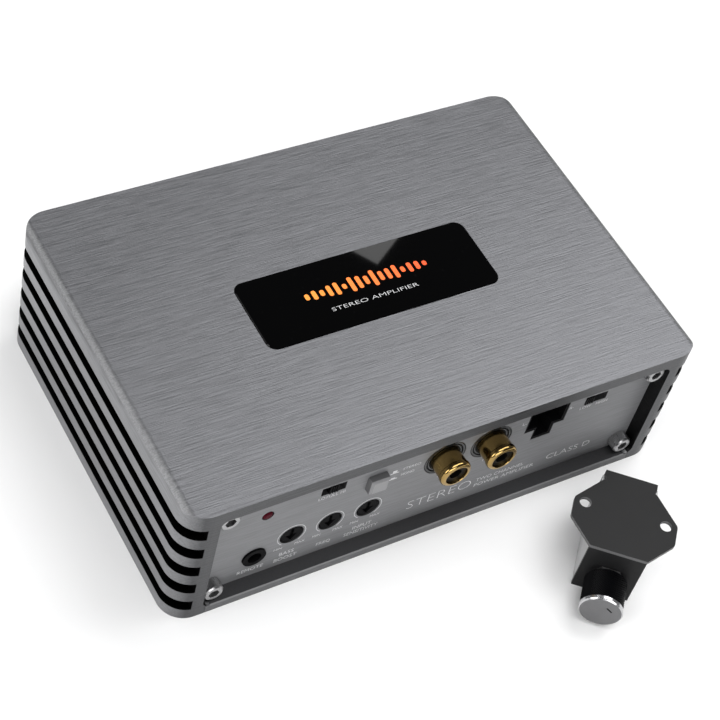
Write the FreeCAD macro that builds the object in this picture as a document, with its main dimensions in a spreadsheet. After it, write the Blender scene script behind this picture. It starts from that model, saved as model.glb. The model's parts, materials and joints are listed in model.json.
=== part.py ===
import FreeCAD, Part
import math
import os
import re
import Sketcher

# Compact two-channel car amplifier with its wired level control.
# Origin: centre of the amplifier's underside. +Z up, +X to the right seen from
# the control side, which faces -Y. Sizes are in millimetres.

DIMENSIONS = (
    ("body_width", 140.0, "housing across the fins"),
    ("body_depth", 94.2, "housing from front frame to rear frame"),
    ("body_height", 41.2, "housing from underside to top"),
    ("fin_pitch", 3.6, "height of one fin, and of one groove"),
    ("groove_depth", 5.4, "how far the grooves run into the side walls"),
    ("plan_radius", 6.5, "rounding of the four upright corners"),
    ("top_radius", 2.5, "rounding of the two long top edges"),
    ("bay_half", 61.6, "half width of the inner bay and of the panel recess"),
    ("foot_half", 60.9, "half distance between the side walls' feet"),
    ("roof_low", 37.6, "underside of the top wall"),
    ("rib_width", 7.0, "screw ribs inside the side walls, across"),
    ("rib_low_top", 9.0, "top of the lower screw ribs"),
    ("rib_high_base", 31.2, "underside of the upper screw ribs"),
    ("recess", 3.85, "panel face behind the frame's face"),
    ("recess_radius", 2.0, "corner rounding of the panel recess"),
    ("panel_thick", 2.0, "end panel plate"),
    ("panel_gap", 0.1, "end panel edge to recess wall"),
    ("base_thick", 2.5, "base plate"),
    ("base_bevel", 0.3, "bevel on the base plate's upper edges"),
    ("thread_radius", 1.5, "M3 screw shank"),
    ("clear_radius", 1.6, "clearance hole for M3"),
    ("panel_screw_x", 58.6, "end panel screws from the centre"),
    ("panel_screw_low", 5.5, "lower end panel screws"),
    ("panel_screw_high", 34.7, "upper end panel screws"),
    ("cap_radius", 2.5, "socket cap screw head"),
    ("cap_height", 3.0, "socket cap screw head"),
    ("cap_bevel", 0.3, "bevel of a screw head"),
    ("cap_socket", 1.44, "hexagon socket, centre to corner"),
    ("cap_socket_depth", 1.6, "hexagon socket depth"),
    ("panel_screw_length", 10.0, "end panel screw under its head"),
    ("base_screw_x", 57.6, "base plate screws from the centre"),
    ("base_screw_y", 25.0, "base plate screws from the centre"),
    ("base_screw_length", 7.5, "base plate screw, whole"),
    ("countersink", 1.3, "depth of the countersunk heads"),
    ("sunk_socket", 1.15, "hexagon socket of a countersunk screw, centre to corner"),
    ("sunk_socket_depth", 1.0, "hexagon socket of a countersunk screw"),
    ("sunk_lift", 0.05, "countersunk heads above the underside"),
    ("bracket_hole_x", 50.0, "threaded bracket holes from the centre"),
    ("bracket_hole_y", 36.0, "threaded bracket holes from the centre"),
    ("bracket_hole_radius", 1.65, "threaded bracket holes, M4 core"),
    ("badge_width", 64.5, "badge plate"),
    ("badge_depth", 21.1, "badge plate"),
    ("badge_x", 0.8, "badge plate off the middle"),
    ("badge_radius", 2.7, "badge plate corners"),
    ("badge_pocket", 0.8, "badge pocket in the top"),
    ("badge_thick", 1.1, "badge plate"),
    ("badge_gap", 0.1, "gap round the badge plate"),
    ("badge_bevel", 0.15, "bevel of the badge plate's edge"),
    ("board_thick", 1.6, "printed circuit boards"),
    ("main_low", 6.4, "underside of the main board"),
    ("main_half_x", 53.5, "main board half width"),
    ("main_half_y", 40.5, "main board half depth"),
    ("standoff_x", 48.0, "main board standoffs from the centre"),
    ("standoff_front", -26.0, "front standoffs"),
    ("standoff_rear", 24.0, "rear standoffs"),
    ("standoff_radius", 2.9, "hexagon standoff, centre to corner"),
    ("header_left", -2.0, "left end of the board-to-board header"),
    ("header_right", 14.0, "right end of the board-to-board header"),
    ("header_front", -20.0, "front of the board-to-board header"),
    ("header_rear", -17.5, "rear of the board-to-board header"),
    ("pan_radius", 2.6, "pan head of the board screws"),
    ("pan_height", 1.7, "pan head of the board screws"),
    ("pan_bevel", 0.5, "bevel of a pan head"),
    ("slot_half", 0.35, "half width of a screw slot"),
    ("slot_depth", 0.8, "depth of a screw slot"),
    ("board_screw_length", 4.5, "main board screws under their heads"),
    ("input_low", 18.0, "underside of the input board"),
    ("input_half_x", 52.0, "input board half width"),
    ("input_rear", -16.0, "input board rear edge"),
    ("post_radius", 2.5, "posts between the boards"),
    ("post_tap", 6.0, "threaded depth of the posts"),
    ("post_screw_length", 5.5, "input board screws under their heads"),
    ("part_face", 41.15, "front of the parts behind the front panel"),
    ("rca_left", 1.3, "left phono socket"),
    ("rca_pitch", 13.1, "phono socket spacing"),
    ("rca_axis", 25.3, "phono socket height"),
    ("rca_radius", 4.15, "phono socket barrel"),
    ("rca_root", 3.6, "phono barrel inside its collar"),
    ("rca_bore", 2.95, "inside of the phono barrel"),
    ("rca_collar", 5.65, "black collar round the phono barrel"),
    ("rca_reach", 48.95, "front rim of the phono barrel"),
    ("rca_rear", 33.0, "rear end of the phono barrel"),
    ("collar_face", 43.05, "front face of the collars"),
    ("rca_pin_hole", 1.65, "centre hole of the phono socket"),
    ("rca_side", 6.4, "phono block beyond its outer sockets"),
    ("rca_block_top", 31.0, "top of the phono block"),
    ("rca_bevel", 0.5, "bevel of the barrel's rim"),
    ("rca_base", 4.0, "rear end of the insulator above the barrel's"),
    ("rca_insulator_sunk", 0.7, "insulator's face behind the barrel's rim"),
    ("rca_contact", 1.25, "bore of the centre contact"),
    ("rca_contact_rear", 1.0, "rear end of the contact above the barrel's"),
    ("rca_contact_sunk", 2.2, "contact's face behind the barrel's rim"),
    ("socket_rear", 29.0, "rear of the phono block and of the remote jack"),
    ("jack_x", -47.6, "remote control jack"),
    ("jack_z", 10.7, "remote control jack"),
    ("jack_bezel", 3.05, "remote jack bezel"),
    ("jack_bore", 1.8, "remote jack bore for a 3.5 mm plug"),
    ("jack_length", 12.6, "remote jack bore length"),
    ("jack_half", 3.4, "remote jack body half width"),
    ("jack_top", 3.5, "top of the remote jack body above its axis"),
    ("jack_proud", 2.6, "remote jack bezel in front of its body"),
    ("led_x", -46.5, "power lamp"),
    ("led_z", 26.9, "power lamp"),
    ("led_radius", 1.48, "power lamp"),
    ("led_length", 6.4, "power lamp"),
    ("led_dome", 0.9, "rounding of the power lamp's front"),
    ("led_rear", 37.1, "rear end of the power lamp"),
    ("led_gap", 0.07, "gap round the power lamp in the panel"),
    ("lamp_half", 2.4, "lamp holder half width"),
    ("lamp_rear", 36.0, "rear of the lamp holder"),
    ("lamp_bore_end", 37.0, "rear end of the lamp holder's bore"),
    ("lamp_bore_gap", 0.02, "gap round the lamp in its holder"),
    ("pot_first_x", -38.2, "first control potentiometer"),
    ("pot_pitch", 10.3, "potentiometer spacing"),
    ("pot_z", 14.5, "potentiometer axis height"),
    ("pot_half", 4.8, "potentiometer body half width"),
    ("pot_top", 17.8, "top of the potentiometer bodies"),
    ("rotor_radius", 2.95, "potentiometer rotor"),
    ("rotor_bore", 3.0, "bore the rotor turns in"),
    ("rotor_hole", 3.15, "panel hole round a rotor"),
    ("rotor_face", 43.1, "front of the rotors"),
    ("rotor_end", 36.0, "rear end of the rotors"),
    ("rotor_bevel", 0.25, "bevel of a rotor's front edge"),
    ("rotor_slot", 0.8, "depth of a rotor's driver slot"),
    ("rotor_gap", 0.1, "gap behind a rotor"),
    ("pot_rear", 32.0, "rear of the potentiometer bodies"),
    ("switch_one_x", -29.65, "crossover switch centre"),
    ("switch_two_x", 44.4, "input mode switch centre"),
    ("switch_z", 28.7, "slide switch centre height"),
    ("window_half_x", 3.25, "slide switch window half width"),
    ("window_half_z", 1.4, "slide switch window half height"),
    ("slider_half_x", 1.2, "slide switch actuator half width"),
    ("slider_half_z", 1.3, "slide switch actuator half height"),
    ("slider_travel", 1.95, "actuator travel each way from the middle"),
    ("slider_face", 43.5, "front of the slide switch actuators"),
    ("slider_end", 38.5, "rear end of the slide switch actuators"),
    ("slider_rib", 0.6, "spacing of the actuators' grip grooves"),
    ("slider_rib_half", 0.15, "grip groove half width"),
    ("slider_rib_deep", 0.4, "grip groove depth"),
    ("switch_half_x", 5.4, "slide switch body half width"),
    ("switch_half_z", 2.7, "slide switch body half height"),
    ("switch_rear", 36.2, "rear of the slide switch bodies"),
    ("switch_slot_end", 38.3, "rear of the slot an actuator runs in"),
    ("leg_pitch", 2.5, "slide switch leg spacing"),
    ("leg_half", 0.3, "slide switch leg half width"),
    ("leg_front", 37.8, "front of the slide switch legs"),
    ("leg_rear", 37.2, "rear of the slide switch legs"),
    ("button_x", -17.8, "mode button centre"),
    ("button_z", 25.8, "mode button centre"),
    ("button_half", 2.45, "mode button half width"),
    ("button_gap", 0.15, "gap round the mode button"),
    ("button_face", 45.25, "front of the released mode button"),
    ("button_end", 37.0, "rear end of the released mode button"),
    ("button_bevel", 0.5, "bevel of the mode button's face and its panel hole's corners"),
    ("button_slot_gap", 0.1, "gap round the mode button in its switch"),
    ("mode_half", 4.5, "push switch body half width"),
    ("mode_top", 4.4, "top of the push switch body above the button's axis"),
    ("mode_rear", 28.0, "rear of the push switch body"),
    ("mode_slot_end", 33.0, "rear of the slot the button runs in"),
    ("level_x", 30.35, "high level input connector centre"),
    ("level_half", 5.15, "connector cavity half width"),
    ("level_low", 24.25, "connector cavity floor"),
    ("level_high", 34.5, "connector cavity roof"),
    ("latch_half", 2.2, "connector latch slot half width"),
    ("latch_low", 20.3, "connector latch slot floor"),
    ("level_depth", 10.0, "connector cavity depth"),
    ("level_wall", 0.6, "connector shell wall"),
    ("level_pitch", 4.2, "connector pin spacing"),
    ("level_rear", 31.0, "rear of the connector"),
    ("level_pin_half", 0.5, "connector pin half width"),
    ("level_pin_sunk", 4.3, "pin tips behind the connector's face"),
    ("power_x", 36.0, "centre of the power terminal block"),
    ("power_pitch", 11.0, "power terminal spacing"),
    ("power_reach", 56.0, "rear face of the power terminal block"),
    ("power_high", 21.5, "top of the power terminal block"),
    ("power_wire", 2.6, "power clamp bore"),
    ("speaker_x", -29.75, "centre of the speaker terminal block"),
    ("speaker_pitch", 9.5, "speaker terminal spacing"),
    ("speaker_reach", 54.0, "rear face of the speaker terminal block"),
    ("speaker_high", 19.5, "top of the speaker terminal block"),
    ("speaker_wire", 1.9, "speaker clamp bore"),
    ("block_front", 30.0, "front of the parts behind the rear panel"),
    ("clamp_wall", 0.9, "plastic between a clamp and the outside"),
    ("clamp_side", 1.2, "clamp metal beside its bore"),
    ("clamp_entry", 0.2, "wire entry wider than the clamp's bore"),
    ("set_gap", 0.3, "gap round a set screw in the block"),
    ("set_above", 0.15, "set screw's end above the clamp's bore"),
    ("set_below", 0.6, "set screw's face below the block's top"),
    ("set_slot_half", 0.3, "half width of a set screw's slot"),
    ("speaker_side", 0.75, "speaker block beyond its outer poles"),
    ("cutout_gap", 0.1, "gap round a part in a panel cutout"),
    ("fuse_x", 5.0, "blade fuse centre"),
    ("fuse_z", 13.5, "blade fuse centre height"),
    ("fuse_half_x", 9.55, "fuse head half width"),
    ("fuse_half_z", 2.55, "fuse head half thickness"),
    ("fuse_head_low", 40.6, "inner end of the fuse head"),
    ("fuse_head_high", 52.6, "outer end of the fuse head"),
    ("fuse_blade_x", 6.9, "fuse blade from the fuse centre"),
    ("fuse_blade_half", 2.5, "fuse blade half width"),
    ("fuse_blade_thick", 0.7, "fuse blade thickness"),
    ("fuse_corner", 0.8, "rounding of the fuse head"),
    ("fuse_grip", 0.6, "depth of the fuse head's grips"),
    ("fuse_grip_half", 6.0, "grip half width"),
    ("fuse_grip_low", 8.0, "inner end of a grip below the head's face"),
    ("fuse_grip_high", 2.0, "outer end of a grip below the head's face"),
    ("fuse_gap", 0.2, "gap round the fuse in its holder"),
    ("blade_gap", 0.15, "gap beside a blade in its slot"),
    ("fuse_blade_low", 33.0, "inner end of the blades"),
    ("fuse_slot_low", 32.0, "inner end of the blade slots"),
    ("holder_half", 12.2, "fuse holder half width"),
    ("holder_high", 18.0, "fuse holder top"),
    ("holder_reach", 46.9, "fuse holder rear face"),
    ("toroid_x", 20.0, "transformer centre"),
    ("toroid_y", 5.0, "transformer centre"),
    ("toroid_ring", 9.5, "transformer core centre circle"),
    ("toroid_core_radius", 4.0, "transformer core section"),
    ("wire_loop", 4.75, "winding loop radius"),
    ("wire_radius", 0.65, "winding wire"),
    ("winding_gap", 0.1, "winding above the main board"),
    ("can_radius", 6.25, "filter capacitor"),
    ("can_height", 25.0, "filter capacitor"),
    ("can_round", 0.8, "rounding of a filter capacitor's top"),
    ("can_x", 43.5, "filter capacitors from the centre"),
    ("vent_half", 4.0, "half length of a capacitor's vent groove"),
    ("vent_half_width", 0.2, "half width of a capacitor's vent groove"),
    ("vent_depth", 0.3, "vent groove"),
    ("choke_x", -31.0, "output chokes"),
    ("choke_half", 7.0, "output choke half width"),
    ("choke_height", 11.0, "output choke"),
    ("choke_corner", 1.5, "output choke corners"),
    ("choke_bevel", 0.6, "bevel of an output choke's top"),
    ("film_left", -18.5, "left end of the film capacitors"),
    ("film_right", -5.5, "right end of the film capacitors"),
    ("film_half", 2.5, "film capacitor half thickness"),
    ("film_height", 11.0, "film capacitor"),
    ("device_pitch", 14.0, "power transistor spacing"),
    ("device_first_y", -10.0, "first power transistor"),
    ("pad_thick", 0.3, "thermal pad"),
    ("pad_front", -17.0, "thermal pad's front edge"),
    ("pad_rear", 39.0, "thermal pad's rear edge"),
    ("pad_low", 10.0, "thermal pad's lower edge"),
    ("pad_high", 30.0, "thermal pad's upper edge"),
    ("device_half", 5.0, "power transistor half width"),
    ("device_thick", 4.5, "power transistor case"),
    ("device_low", 12.5, "underside of the power transistors"),
    ("device_high", 21.5, "top of a power transistor's case"),
    ("tab_thick", 1.3, "power transistor's metal tab"),
    ("tab_high", 28.0, "top of a power transistor's tab"),
    ("tab_hole_z", 25.0, "hole in a tab"),
    ("tab_hole", 1.8, "hole in a tab"),
    ("lead_pitch", 2.54, "transistor lead spacing"),
    ("lead_half", 0.4, "transistor lead half width"),
    ("lead_end", -51.5, "bend of the transistor leads"),
    ("lead_thick", 0.6, "transistor lead"),
    ("lead_low", 12.6, "underside of the transistor leads"),
    ("bar_thick", 3.0, "clamp bar"),
    ("bar_front", -16.0, "front end of the clamp bar"),
    ("bar_rear", 38.0, "rear end of the clamp bar"),
    ("bar_half", 2.5, "clamp bar half height"),
    ("bar_screw_length", 12.0, "clamp screws under their heads"),
    ("bar_z", 16.2, "clamp bar height"),
    ("remote_x", 39.6, "level control centre"),
    ("remote_y", -69.9, "level control centre"),
    ("remote_yaw", -42.0, "level control turned about Z, degrees"),
    ("remote_half", 7.15, "level control half width"),
    ("remote_high", 17.3, "level control height"),
    ("remote_front", 12.0, "bracket front face before the centre"),
    ("remote_back", 11.6, "bracket rear face behind the centre"),
    ("sheet", 1.0, "bracket sheet thickness"),
    ("ear_half", 13.0, "half width over the ears"),
    ("ear_hole_x", 10.15, "ear holes from the centre"),
    ("ear_hole_radius", 1.5, "ear holes"),
    ("flange_half", 6.6, "rear flange half width"),
    ("ear_front", -5.0, "front corner of an ear"),
    ("ear_rear", 0.8, "rear corner of an ear"),
    ("ear_corner", 1.5, "rounding of the ears' corners"),
    ("ear_root", 8.3, "where an ear meets the rear flange"),
    ("notch_front", 8.7, "front of the bend notch"),
    ("notch_rear", 9.4, "rear of the bend notch"),
    ("notch_deep", 0.4, "depth of the bend notch"),
    ("flange_hole", 1.1, "screw holes of the rear flange"),
    ("flange_screw_x", 4.0, "rear flange screws from the centre"),
    ("flange_screw_z", 13.0, "rear flange screws"),
    ("flange_screw_radius", 1.0, "rear flange screw shank"),
    ("flange_head", 1.8, "rear flange screw head"),
    ("flange_head_high", 1.1, "rear flange screw head"),
    ("flange_screw_length", 4.0, "rear flange screw under its head"),
    ("flange_slot_half", 0.25, "half width of a rear flange screw's slot"),
    ("flange_slot_depth", 0.5, "slot depth"),
    ("remote_wall", 1.2, "level control housing wall"),
    ("remote_gap", 0.05, "gap between the box and the folded sheet"),
    ("remote_side_gap", 0.1, "box inside the sheet's width"),
    ("pot_unit_half", 5.0, "level potentiometer half width"),
    ("pot_unit_deep", 6.5, "level potentiometer"),
    ("pot_unit_low", 1.5, "underside of the level potentiometer and of the lead socket"),
    ("pot_unit_high", 12.5, "top of the level potentiometer"),
    ("bush_reach", 3.0, "bush in front of the sheet"),
    ("bush_deep", 3.0, "bush bore inside the potentiometer"),
    ("nut_radius", 4.6, "bush nut, centre to corner"),
    ("nut_thick", 1.8, "bush nut"),
    ("lead_socket_half", 3.4, "lead socket half width"),
    ("lead_socket_high", 10.0, "top of the lead socket"),
    ("lead_socket_deep", 9.2, "lead socket bore inside the flange"),
    ("lead_socket_proud", 0.8, "lead socket nozzle behind the flange"),
    ("knob_axis", 6.4, "knob axis height"),
    ("knob_radius", 5.4, "knob"),
    ("knob_low", 12.8, "rear of the knob before the centre"),
    ("knob_high", 21.0, "front of the knurled knob"),
    ("knob_cap_high", 22.1, "front of the knob's cap"),
    ("knob_bore_side", 1.9, "knob's rear recess round the shaft"),
    ("knob_recess", 2.9, "depth of the knob's rear recess"),
    ("knob_web", 2.6, "knob's face web with the cap's seat"),
    ("cap_spigot", 3.5, "spigot of the knob's cap"),
    ("cap_spigot_long", 0.8, "spigot of the knob's cap"),
    ("knob_cap_bevel", 0.35, "bevel of the knob's cap"),
    ("shaft_gap", 0.1, "shaft end before the bore's end"),
    ("shaft_radius", 3.0, "level control shaft"),
    ("bush_radius", 3.5, "threaded bush"),
    ("bush_bore", 3.05, "bore the shaft turns in"),
    ("socket_radius", 3.0, "lead socket nozzle on the level control"),
)
ALIASES = {alias for alias, number_value, meaning in DIMENSIONS}
sub_parts = []   # the finished pieces, in building order

doc = FreeCAD.newDocument("CarAmplifier")
size = doc.addObject("Spreadsheet::Sheet", "Size")
for row, (alias, number_value, meaning) in enumerate(DIMENSIONS, start=1):
    size.set(f"A{row}", meaning)
    size.set(f"B{row}", str(number_value))
    size.setAlias(f"B{row}", alias)
doc.recompute()

Vector = FreeCAD.Vector
TURNS = {
    "+z": FreeCAD.Rotation(),
    "-z": FreeCAD.Rotation(Vector(1, 0, 0), 180),
    "+x": FreeCAD.Rotation(Vector(0, 1, 0), 90),
    "-x": FreeCAD.Rotation(Vector(0, 1, 0), -90),
    "+y": FreeCAD.Rotation(Vector(1, 0, 0), -90),
    "-y": FreeCAD.Rotation(Vector(1, 0, 0), 90),
}


# Formulas and placing.
def bound(formula):
    """The formula with the sheet's name in front of each of its aliases."""
    def name(word):
        return f"Size.{word.group()}" if word.group() in ALIASES else word.group()
    return re.sub(r"[a-z][a-z_]*", name, str(formula))


def number(formula):
    """What a formula comes to now."""
    return float(size.evalExpression(bound(formula)))


def bind(item, **formulas):
    for target, formula in formulas.items():
        item.setExpression(target, bound(formula))


def place(item, x, y, z, turn="+z"):
    """Turns the item's own Z to an axis, then moves its origin to x, y, z."""
    item.Placement = FreeCAD.Placement(Vector(number(x), number(y), number(z)), TURNS[turn])
    for corner, formula in (("x", x), ("y", y), ("z", z)):
        item.setExpression(f"Placement.Base.{corner}", bound(formula))
    return item


# Primitives and booleans.
def box(x, y, z):
    """A block from three (low, high) pairs of formulas."""
    item = doc.addObject("Part::Box", "Block")
    for side, (low, high) in (("Length", x), ("Width", y), ("Height", z)):
        bind(item, **{side: f"({high}) - ({low})"})
    return place(item, x[0], y[0], z[0])


def rod(axis, centre, span, radius):
    """A cylinder along x, y or z: centre in the other two, span along the axis."""
    item = doc.addObject("Part::Cylinder", "Rod")
    bind(item, Radius=radius, Height=f"({span[1]}) - ({span[0]})")
    base = list(centre)
    base.insert("xyz".index(axis), span[0])
    return place(item, *base, turn="+" + axis)


def cone(low_radius, high_radius, low, high):
    item = doc.addObject("Part::Cone", "Cone")
    bind(item, Radius1=low_radius, Radius2=high_radius, Height=f"({high}) - ({low})")
    return place(item, 0, 0, low)


def prism(radius, span, centre=(0, 0)):
    """An upright hexagonal prism."""
    item = doc.addObject("Part::Prism", "Hexagon")
    item.Polygon = 6
    bind(item, Circumradius=radius, Height=f"({span[1]}) - ({span[0]})")
    return place(item, centre[0], centre[1], span[0])


def ring(radius, section, base, turn="+z"):
    item = doc.addObject("Part::Torus", "Ring")
    bind(item, Radius1=radius, Radius2=section)
    return place(item, *base, turn=turn)


def fuse(*parts):
    item = doc.addObject("Part::MultiFuse", "Joined")
    item.Shapes = list(parts)
    return item


def cut(base, *tools):
    item = doc.addObject("Part::Cut", "Cut")
    item.Base = base
    item.Tool = tools[0] if len(tools) == 1 else fuse(*tools)
    return item


def group(*parts):
    item = doc.addObject("Part::Compound", "Group")
    item.Links = list(parts)
    return item


def node(label, item):
    """Marks an item as a finished sub-part."""
    item.Label = label
    sub_parts.append(item)
    return item


# Sketches.
def drive(sketch, kind, geometry, point, formula):
    """Holds one end of a line, or a circle's centre, to the origin by a formula."""
    constraint = Sketcher.Constraint(kind, -1, 1, geometry, point, number(formula))
    index = sketch.addConstraint(constraint)
    sketch.setExpression(f"Constraints[{index}]", bound(formula))


def polygon(sketch, points):
    """A closed outline whose corners are pairs of formulas."""
    corners = [Vector(number(x), number(y), 0) for x, y in points]
    first = sketch.GeometryCount
    count = len(corners)
    for k in range(count):
        sketch.addGeometry(Part.LineSegment(corners[k], corners[(k + 1) % count]))
    for k, (x, y) in enumerate(points):
        sketch.addConstraint(Sketcher.Constraint("Coincident", first + k, 2, first + (k + 1) % count, 1))
        drive(sketch, "DistanceX", first + k, 1, x)
        drive(sketch, "DistanceY", first + k, 1, y)


def rectangle(sketch, x, y):
    """A rectangle from two (low, high) pairs of formulas."""
    polygon(sketch, [(x[0], y[0]), (x[1], y[0]), (x[1], y[1]), (x[0], y[1])])


def rounded_rectangle(sketch, x, y, radius):
    """A rectangle with four equal tangent corner arcs."""
    left, right, low, high, r = (number(f) for f in (x[0], x[1], y[0], y[1], radius))
    first = sketch.GeometryCount
    centres = [(right - r, low + r), (right - r, high - r), (left + r, high - r), (left + r, low + r)]
    lines = [((left + r, low), (right - r, low)), ((right, low + r), (right, high - r)),
             ((right - r, high), (left + r, high)), ((left, high - r), (left, low + r))]
    for k, (start, end) in enumerate(lines):
        sketch.addGeometry(Part.LineSegment(Vector(*start, 0), Vector(*end, 0)))
        circle = Part.Circle(Vector(*centres[k], 0), Vector(0, 0, 1), r)
        angle = (k - 1) * math.pi / 2
        sketch.addGeometry(Part.ArcOfCircle(circle, angle, angle + math.pi / 2))
    for k in range(4):
        line, arc, after = first + 2 * k, first + 2 * k + 1, first + (2 * k + 2) % 8
        sketch.addConstraint(Sketcher.Constraint("Tangent", line, 2, arc, 1))
        sketch.addConstraint(Sketcher.Constraint("Tangent", arc, 2, after, 1))
        sketch.addConstraint(Sketcher.Constraint(("Horizontal", "Vertical")[k % 2], line))
        if k:
            sketch.addConstraint(Sketcher.Constraint("Equal", first + 1, arc))
    index = sketch.addConstraint(Sketcher.Constraint("Radius", first + 1, r))
    sketch.setExpression(f"Constraints[{index}]", bound(radius))
    drive(sketch, "DistanceY", first, 1, y[0])
    drive(sketch, "DistanceX", first + 2, 1, x[1])
    drive(sketch, "DistanceY", first + 4, 1, y[1])
    drive(sketch, "DistanceX", first + 6, 1, x[0])


def circles(sketch, centres, radius):
    for x, y in centres:
        circle = Part.Circle(Vector(number(x), number(y), 0), Vector(0, 0, 1), number(radius))
        index = sketch.addGeometry(circle)
        drive(sketch, "DistanceX", index, 3, x)
        drive(sketch, "DistanceY", index, 3, y)
        constraint = sketch.addConstraint(Sketcher.Constraint("Radius", index, number(radius)))
        sketch.setExpression(f"Constraints[{constraint}]", bound(radius))


# PartDesign bodies.
def new_body():
    return doc.addObject("PartDesign::Body", "Body")


def sketch_on(body, plane, at):
    """A sketch parallel to an origin plane, at a place along the plane's axis."""
    sketch = body.newObject("Sketcher::SketchObject", "Outline")
    support = [item for item in body.Origin.OriginFeatures if item.Role == plane][0]
    sketch.AttachmentSupport = [(support, "")]
    sketch.MapMode = "FlatFace"
    side = "-1" if plane == "XZ_Plane" else "1"   # the XZ plane faces -Y
    sketch.setExpression("AttachmentOffset.Base.z", bound(f"{side}*({at})"))
    return sketch


def extrude(body, kind, plane, span, draw):
    """A Pad or Pocket that fills or clears span=(low, high) along the plane's axis."""
    before = body.Shape.Volume if body.Tip else 0.0
    sketch = sketch_on(body, plane, span[0])
    draw(sketch)
    feature = body.newObject(f"PartDesign::{kind}", kind)
    feature.Profile = sketch
    bind(feature, Length=f"({span[1]}) - ({span[0]})")
    feature.Reversed = (plane == "XZ_Plane") == (kind == "Pad")
    doc.recompute()
    changed = body.Shape.Volume - before
    assert changed > 0.001 if kind == "Pad" else changed < -0.001, f"{kind} changed nothing"
    return feature


def pad(body, plane, span, draw):
    return extrude(body, "Pad", plane, span, draw)


def pocket(body, plane, span, draw):
    return extrude(body, "Pocket", plane, span, draw)


def turned(points):
    """A solid of revolution about the body's own Z: corners are (radius, height)."""
    body = new_body()
    sketch = sketch_on(body, "XZ_Plane", 0)
    polygon(sketch, points)
    revolution = body.newObject("PartDesign::Revolution", "Turned")
    revolution.Profile = sketch
    revolution.ReferenceAxis = (sketch, ["V_Axis"])
    revolution.Angle = 360
    doc.recompute()
    return body


def soften(body, kind, amount, wanted):
    """A Fillet or Chamfer on the edges of the tip for which wanted(edge) holds."""
    tip = body.Tip
    names = [f"Edge{k}" for k, edge in enumerate(tip.Shape.Edges, start=1) if wanted(edge)]
    feature = body.newObject(f"PartDesign::{kind}", kind)
    feature.Base = (tip, names)
    bind(feature, **{"Radius" if kind == "Fillet" else "Size": amount})
    doc.recompute()
    return feature


def same(a, b):
    return abs(a - b) < 0.01


def at_height(z, radius=None):
    """Picks the edges that lie wholly at a height, or only circles of one radius there."""
    def wanted(edge):
        box_of = edge.BoundBox
        level = same(box_of.ZMin, number(z)) and same(box_of.ZMax, number(z))
        if radius is None or not level:
            return level
        return edge.Curve.TypeId == "Part::GeomCircle" and same(edge.Curve.Radius, number(radius))
    return wanted


def mirrored(points):
    """Corners of the right half, from bottom to top, followed by the left half's."""
    return points + [(f"-({x})", y) for x, y in reversed(points)]


# Screws: the head's underside is at the item's own z = 0, the shank below.
def cap_screw(at, turn, length="panel_screw_length"):
    """A socket cap screw."""
    head = fuse(
        rod("z", (0, 0), (0, "cap_height - cap_bevel"), "cap_radius"),
        cone("cap_radius", "cap_radius - cap_bevel", "cap_height - cap_bevel", "cap_height"),
        rod("z", (0, 0), (f"-{length}", 0), "thread_radius"))
    screw = cut(head, prism("cap_socket", ("cap_height - cap_socket_depth", "cap_height")))
    return place(screw, *at, turn=turn)


def pan_screw(at, turn, length):
    """A slotted pan head screw."""
    head = fuse(
        rod("z", (0, 0), (0, "pan_height - pan_bevel"), "pan_radius"),
        cone("pan_radius", "pan_radius - pan_bevel", "pan_height - pan_bevel", "pan_height"),
        rod("z", (0, 0), (f"-{length}", 0), "thread_radius"))
    slot = box(("-pan_radius", "pan_radius"), ("-slot_half", "slot_half"),
               ("pan_height - slot_depth", "pan_height"))
    return place(cut(head, slot), *at, turn=turn)


def sunk_screw(at, turn, length):
    """A countersunk screw, whose head's face is at its own z = 0."""
    head = fuse(
        cone("thread_radius", "thread_radius + countersink", "-countersink", 0),
        rod("z", (0, 0), (f"-({length})", "-countersink"), "thread_radius"))
    screw = cut(head, prism("sunk_socket", ("-sunk_socket_depth", 0)))
    return place(screw, *at, turn=turn)


def set_screw(x, y, low, high, radius):
    """An upright slotted set screw."""
    slot = box((f"{x} - {radius}", f"{x} + {radius}"), (f"{y} - set_slot_half", f"{y} + set_slot_half"),
               (f"{high} - slot_depth", high))
    return cut(rod("z", (x, y), (low, high), radius), slot)


# Shared places.
FRONT = "-body_depth/2"
REAR = "body_depth/2"
PANEL_FACE = "body_depth/2 - recess"
PANEL_BACK = "body_depth/2 - recess - panel_thick"
MAIN_TOP = "main_low + board_thick"
INPUT_TOP = "input_low + board_thick"
PANEL_SCREWS = [(x, z) for x in ("panel_screw_x", "-panel_screw_x")
                for z in ("panel_screw_low", "panel_screw_high")]
BASE_SCREWS = [(x, y) for x in ("base_screw_x", "-base_screw_x")
               for y in ("base_screw_y", "-base_screw_y")]
STANDOFFS = [(x, y) for x in ("standoff_x", "-standoff_x")
             for y in ("standoff_front", "standoff_rear")]
POSTS = [("-48.5", "-19.5"), ("48.5", "-19.5"), ("-9", "-34"), ("42", "-31")]
RCA = ["rca_left", "rca_left + rca_pitch"]
POTS = {"bass": "pot_first_x", "frequency": "pot_first_x + pot_pitch", "gain": "pot_first_x + 2*pot_pitch"}
BAR_SCREWS = [f"device_first_y + device_pitch*{k + 0.5}" for k in range(3)]
POWER = [f"power_x + power_pitch*{k}" for k in (-1, 0, 1)]
FLANGE_SCREWS = [("flange_screw_x", "flange_screw_z"), ("-flange_screw_x", "flange_screw_z")]
WIRE_LOOPS = 18
CAN_PLACES, CHOKE_PLACES, FILM_PLACES = (-7, 7.5), (-2, 16), (-6, 2, 10, 18)   # along Y on the main board
SPEAKER = [f"speaker_x + speaker_pitch*{k}" for k in (-1.5, -0.5, 0.5, 1.5)]


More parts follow.
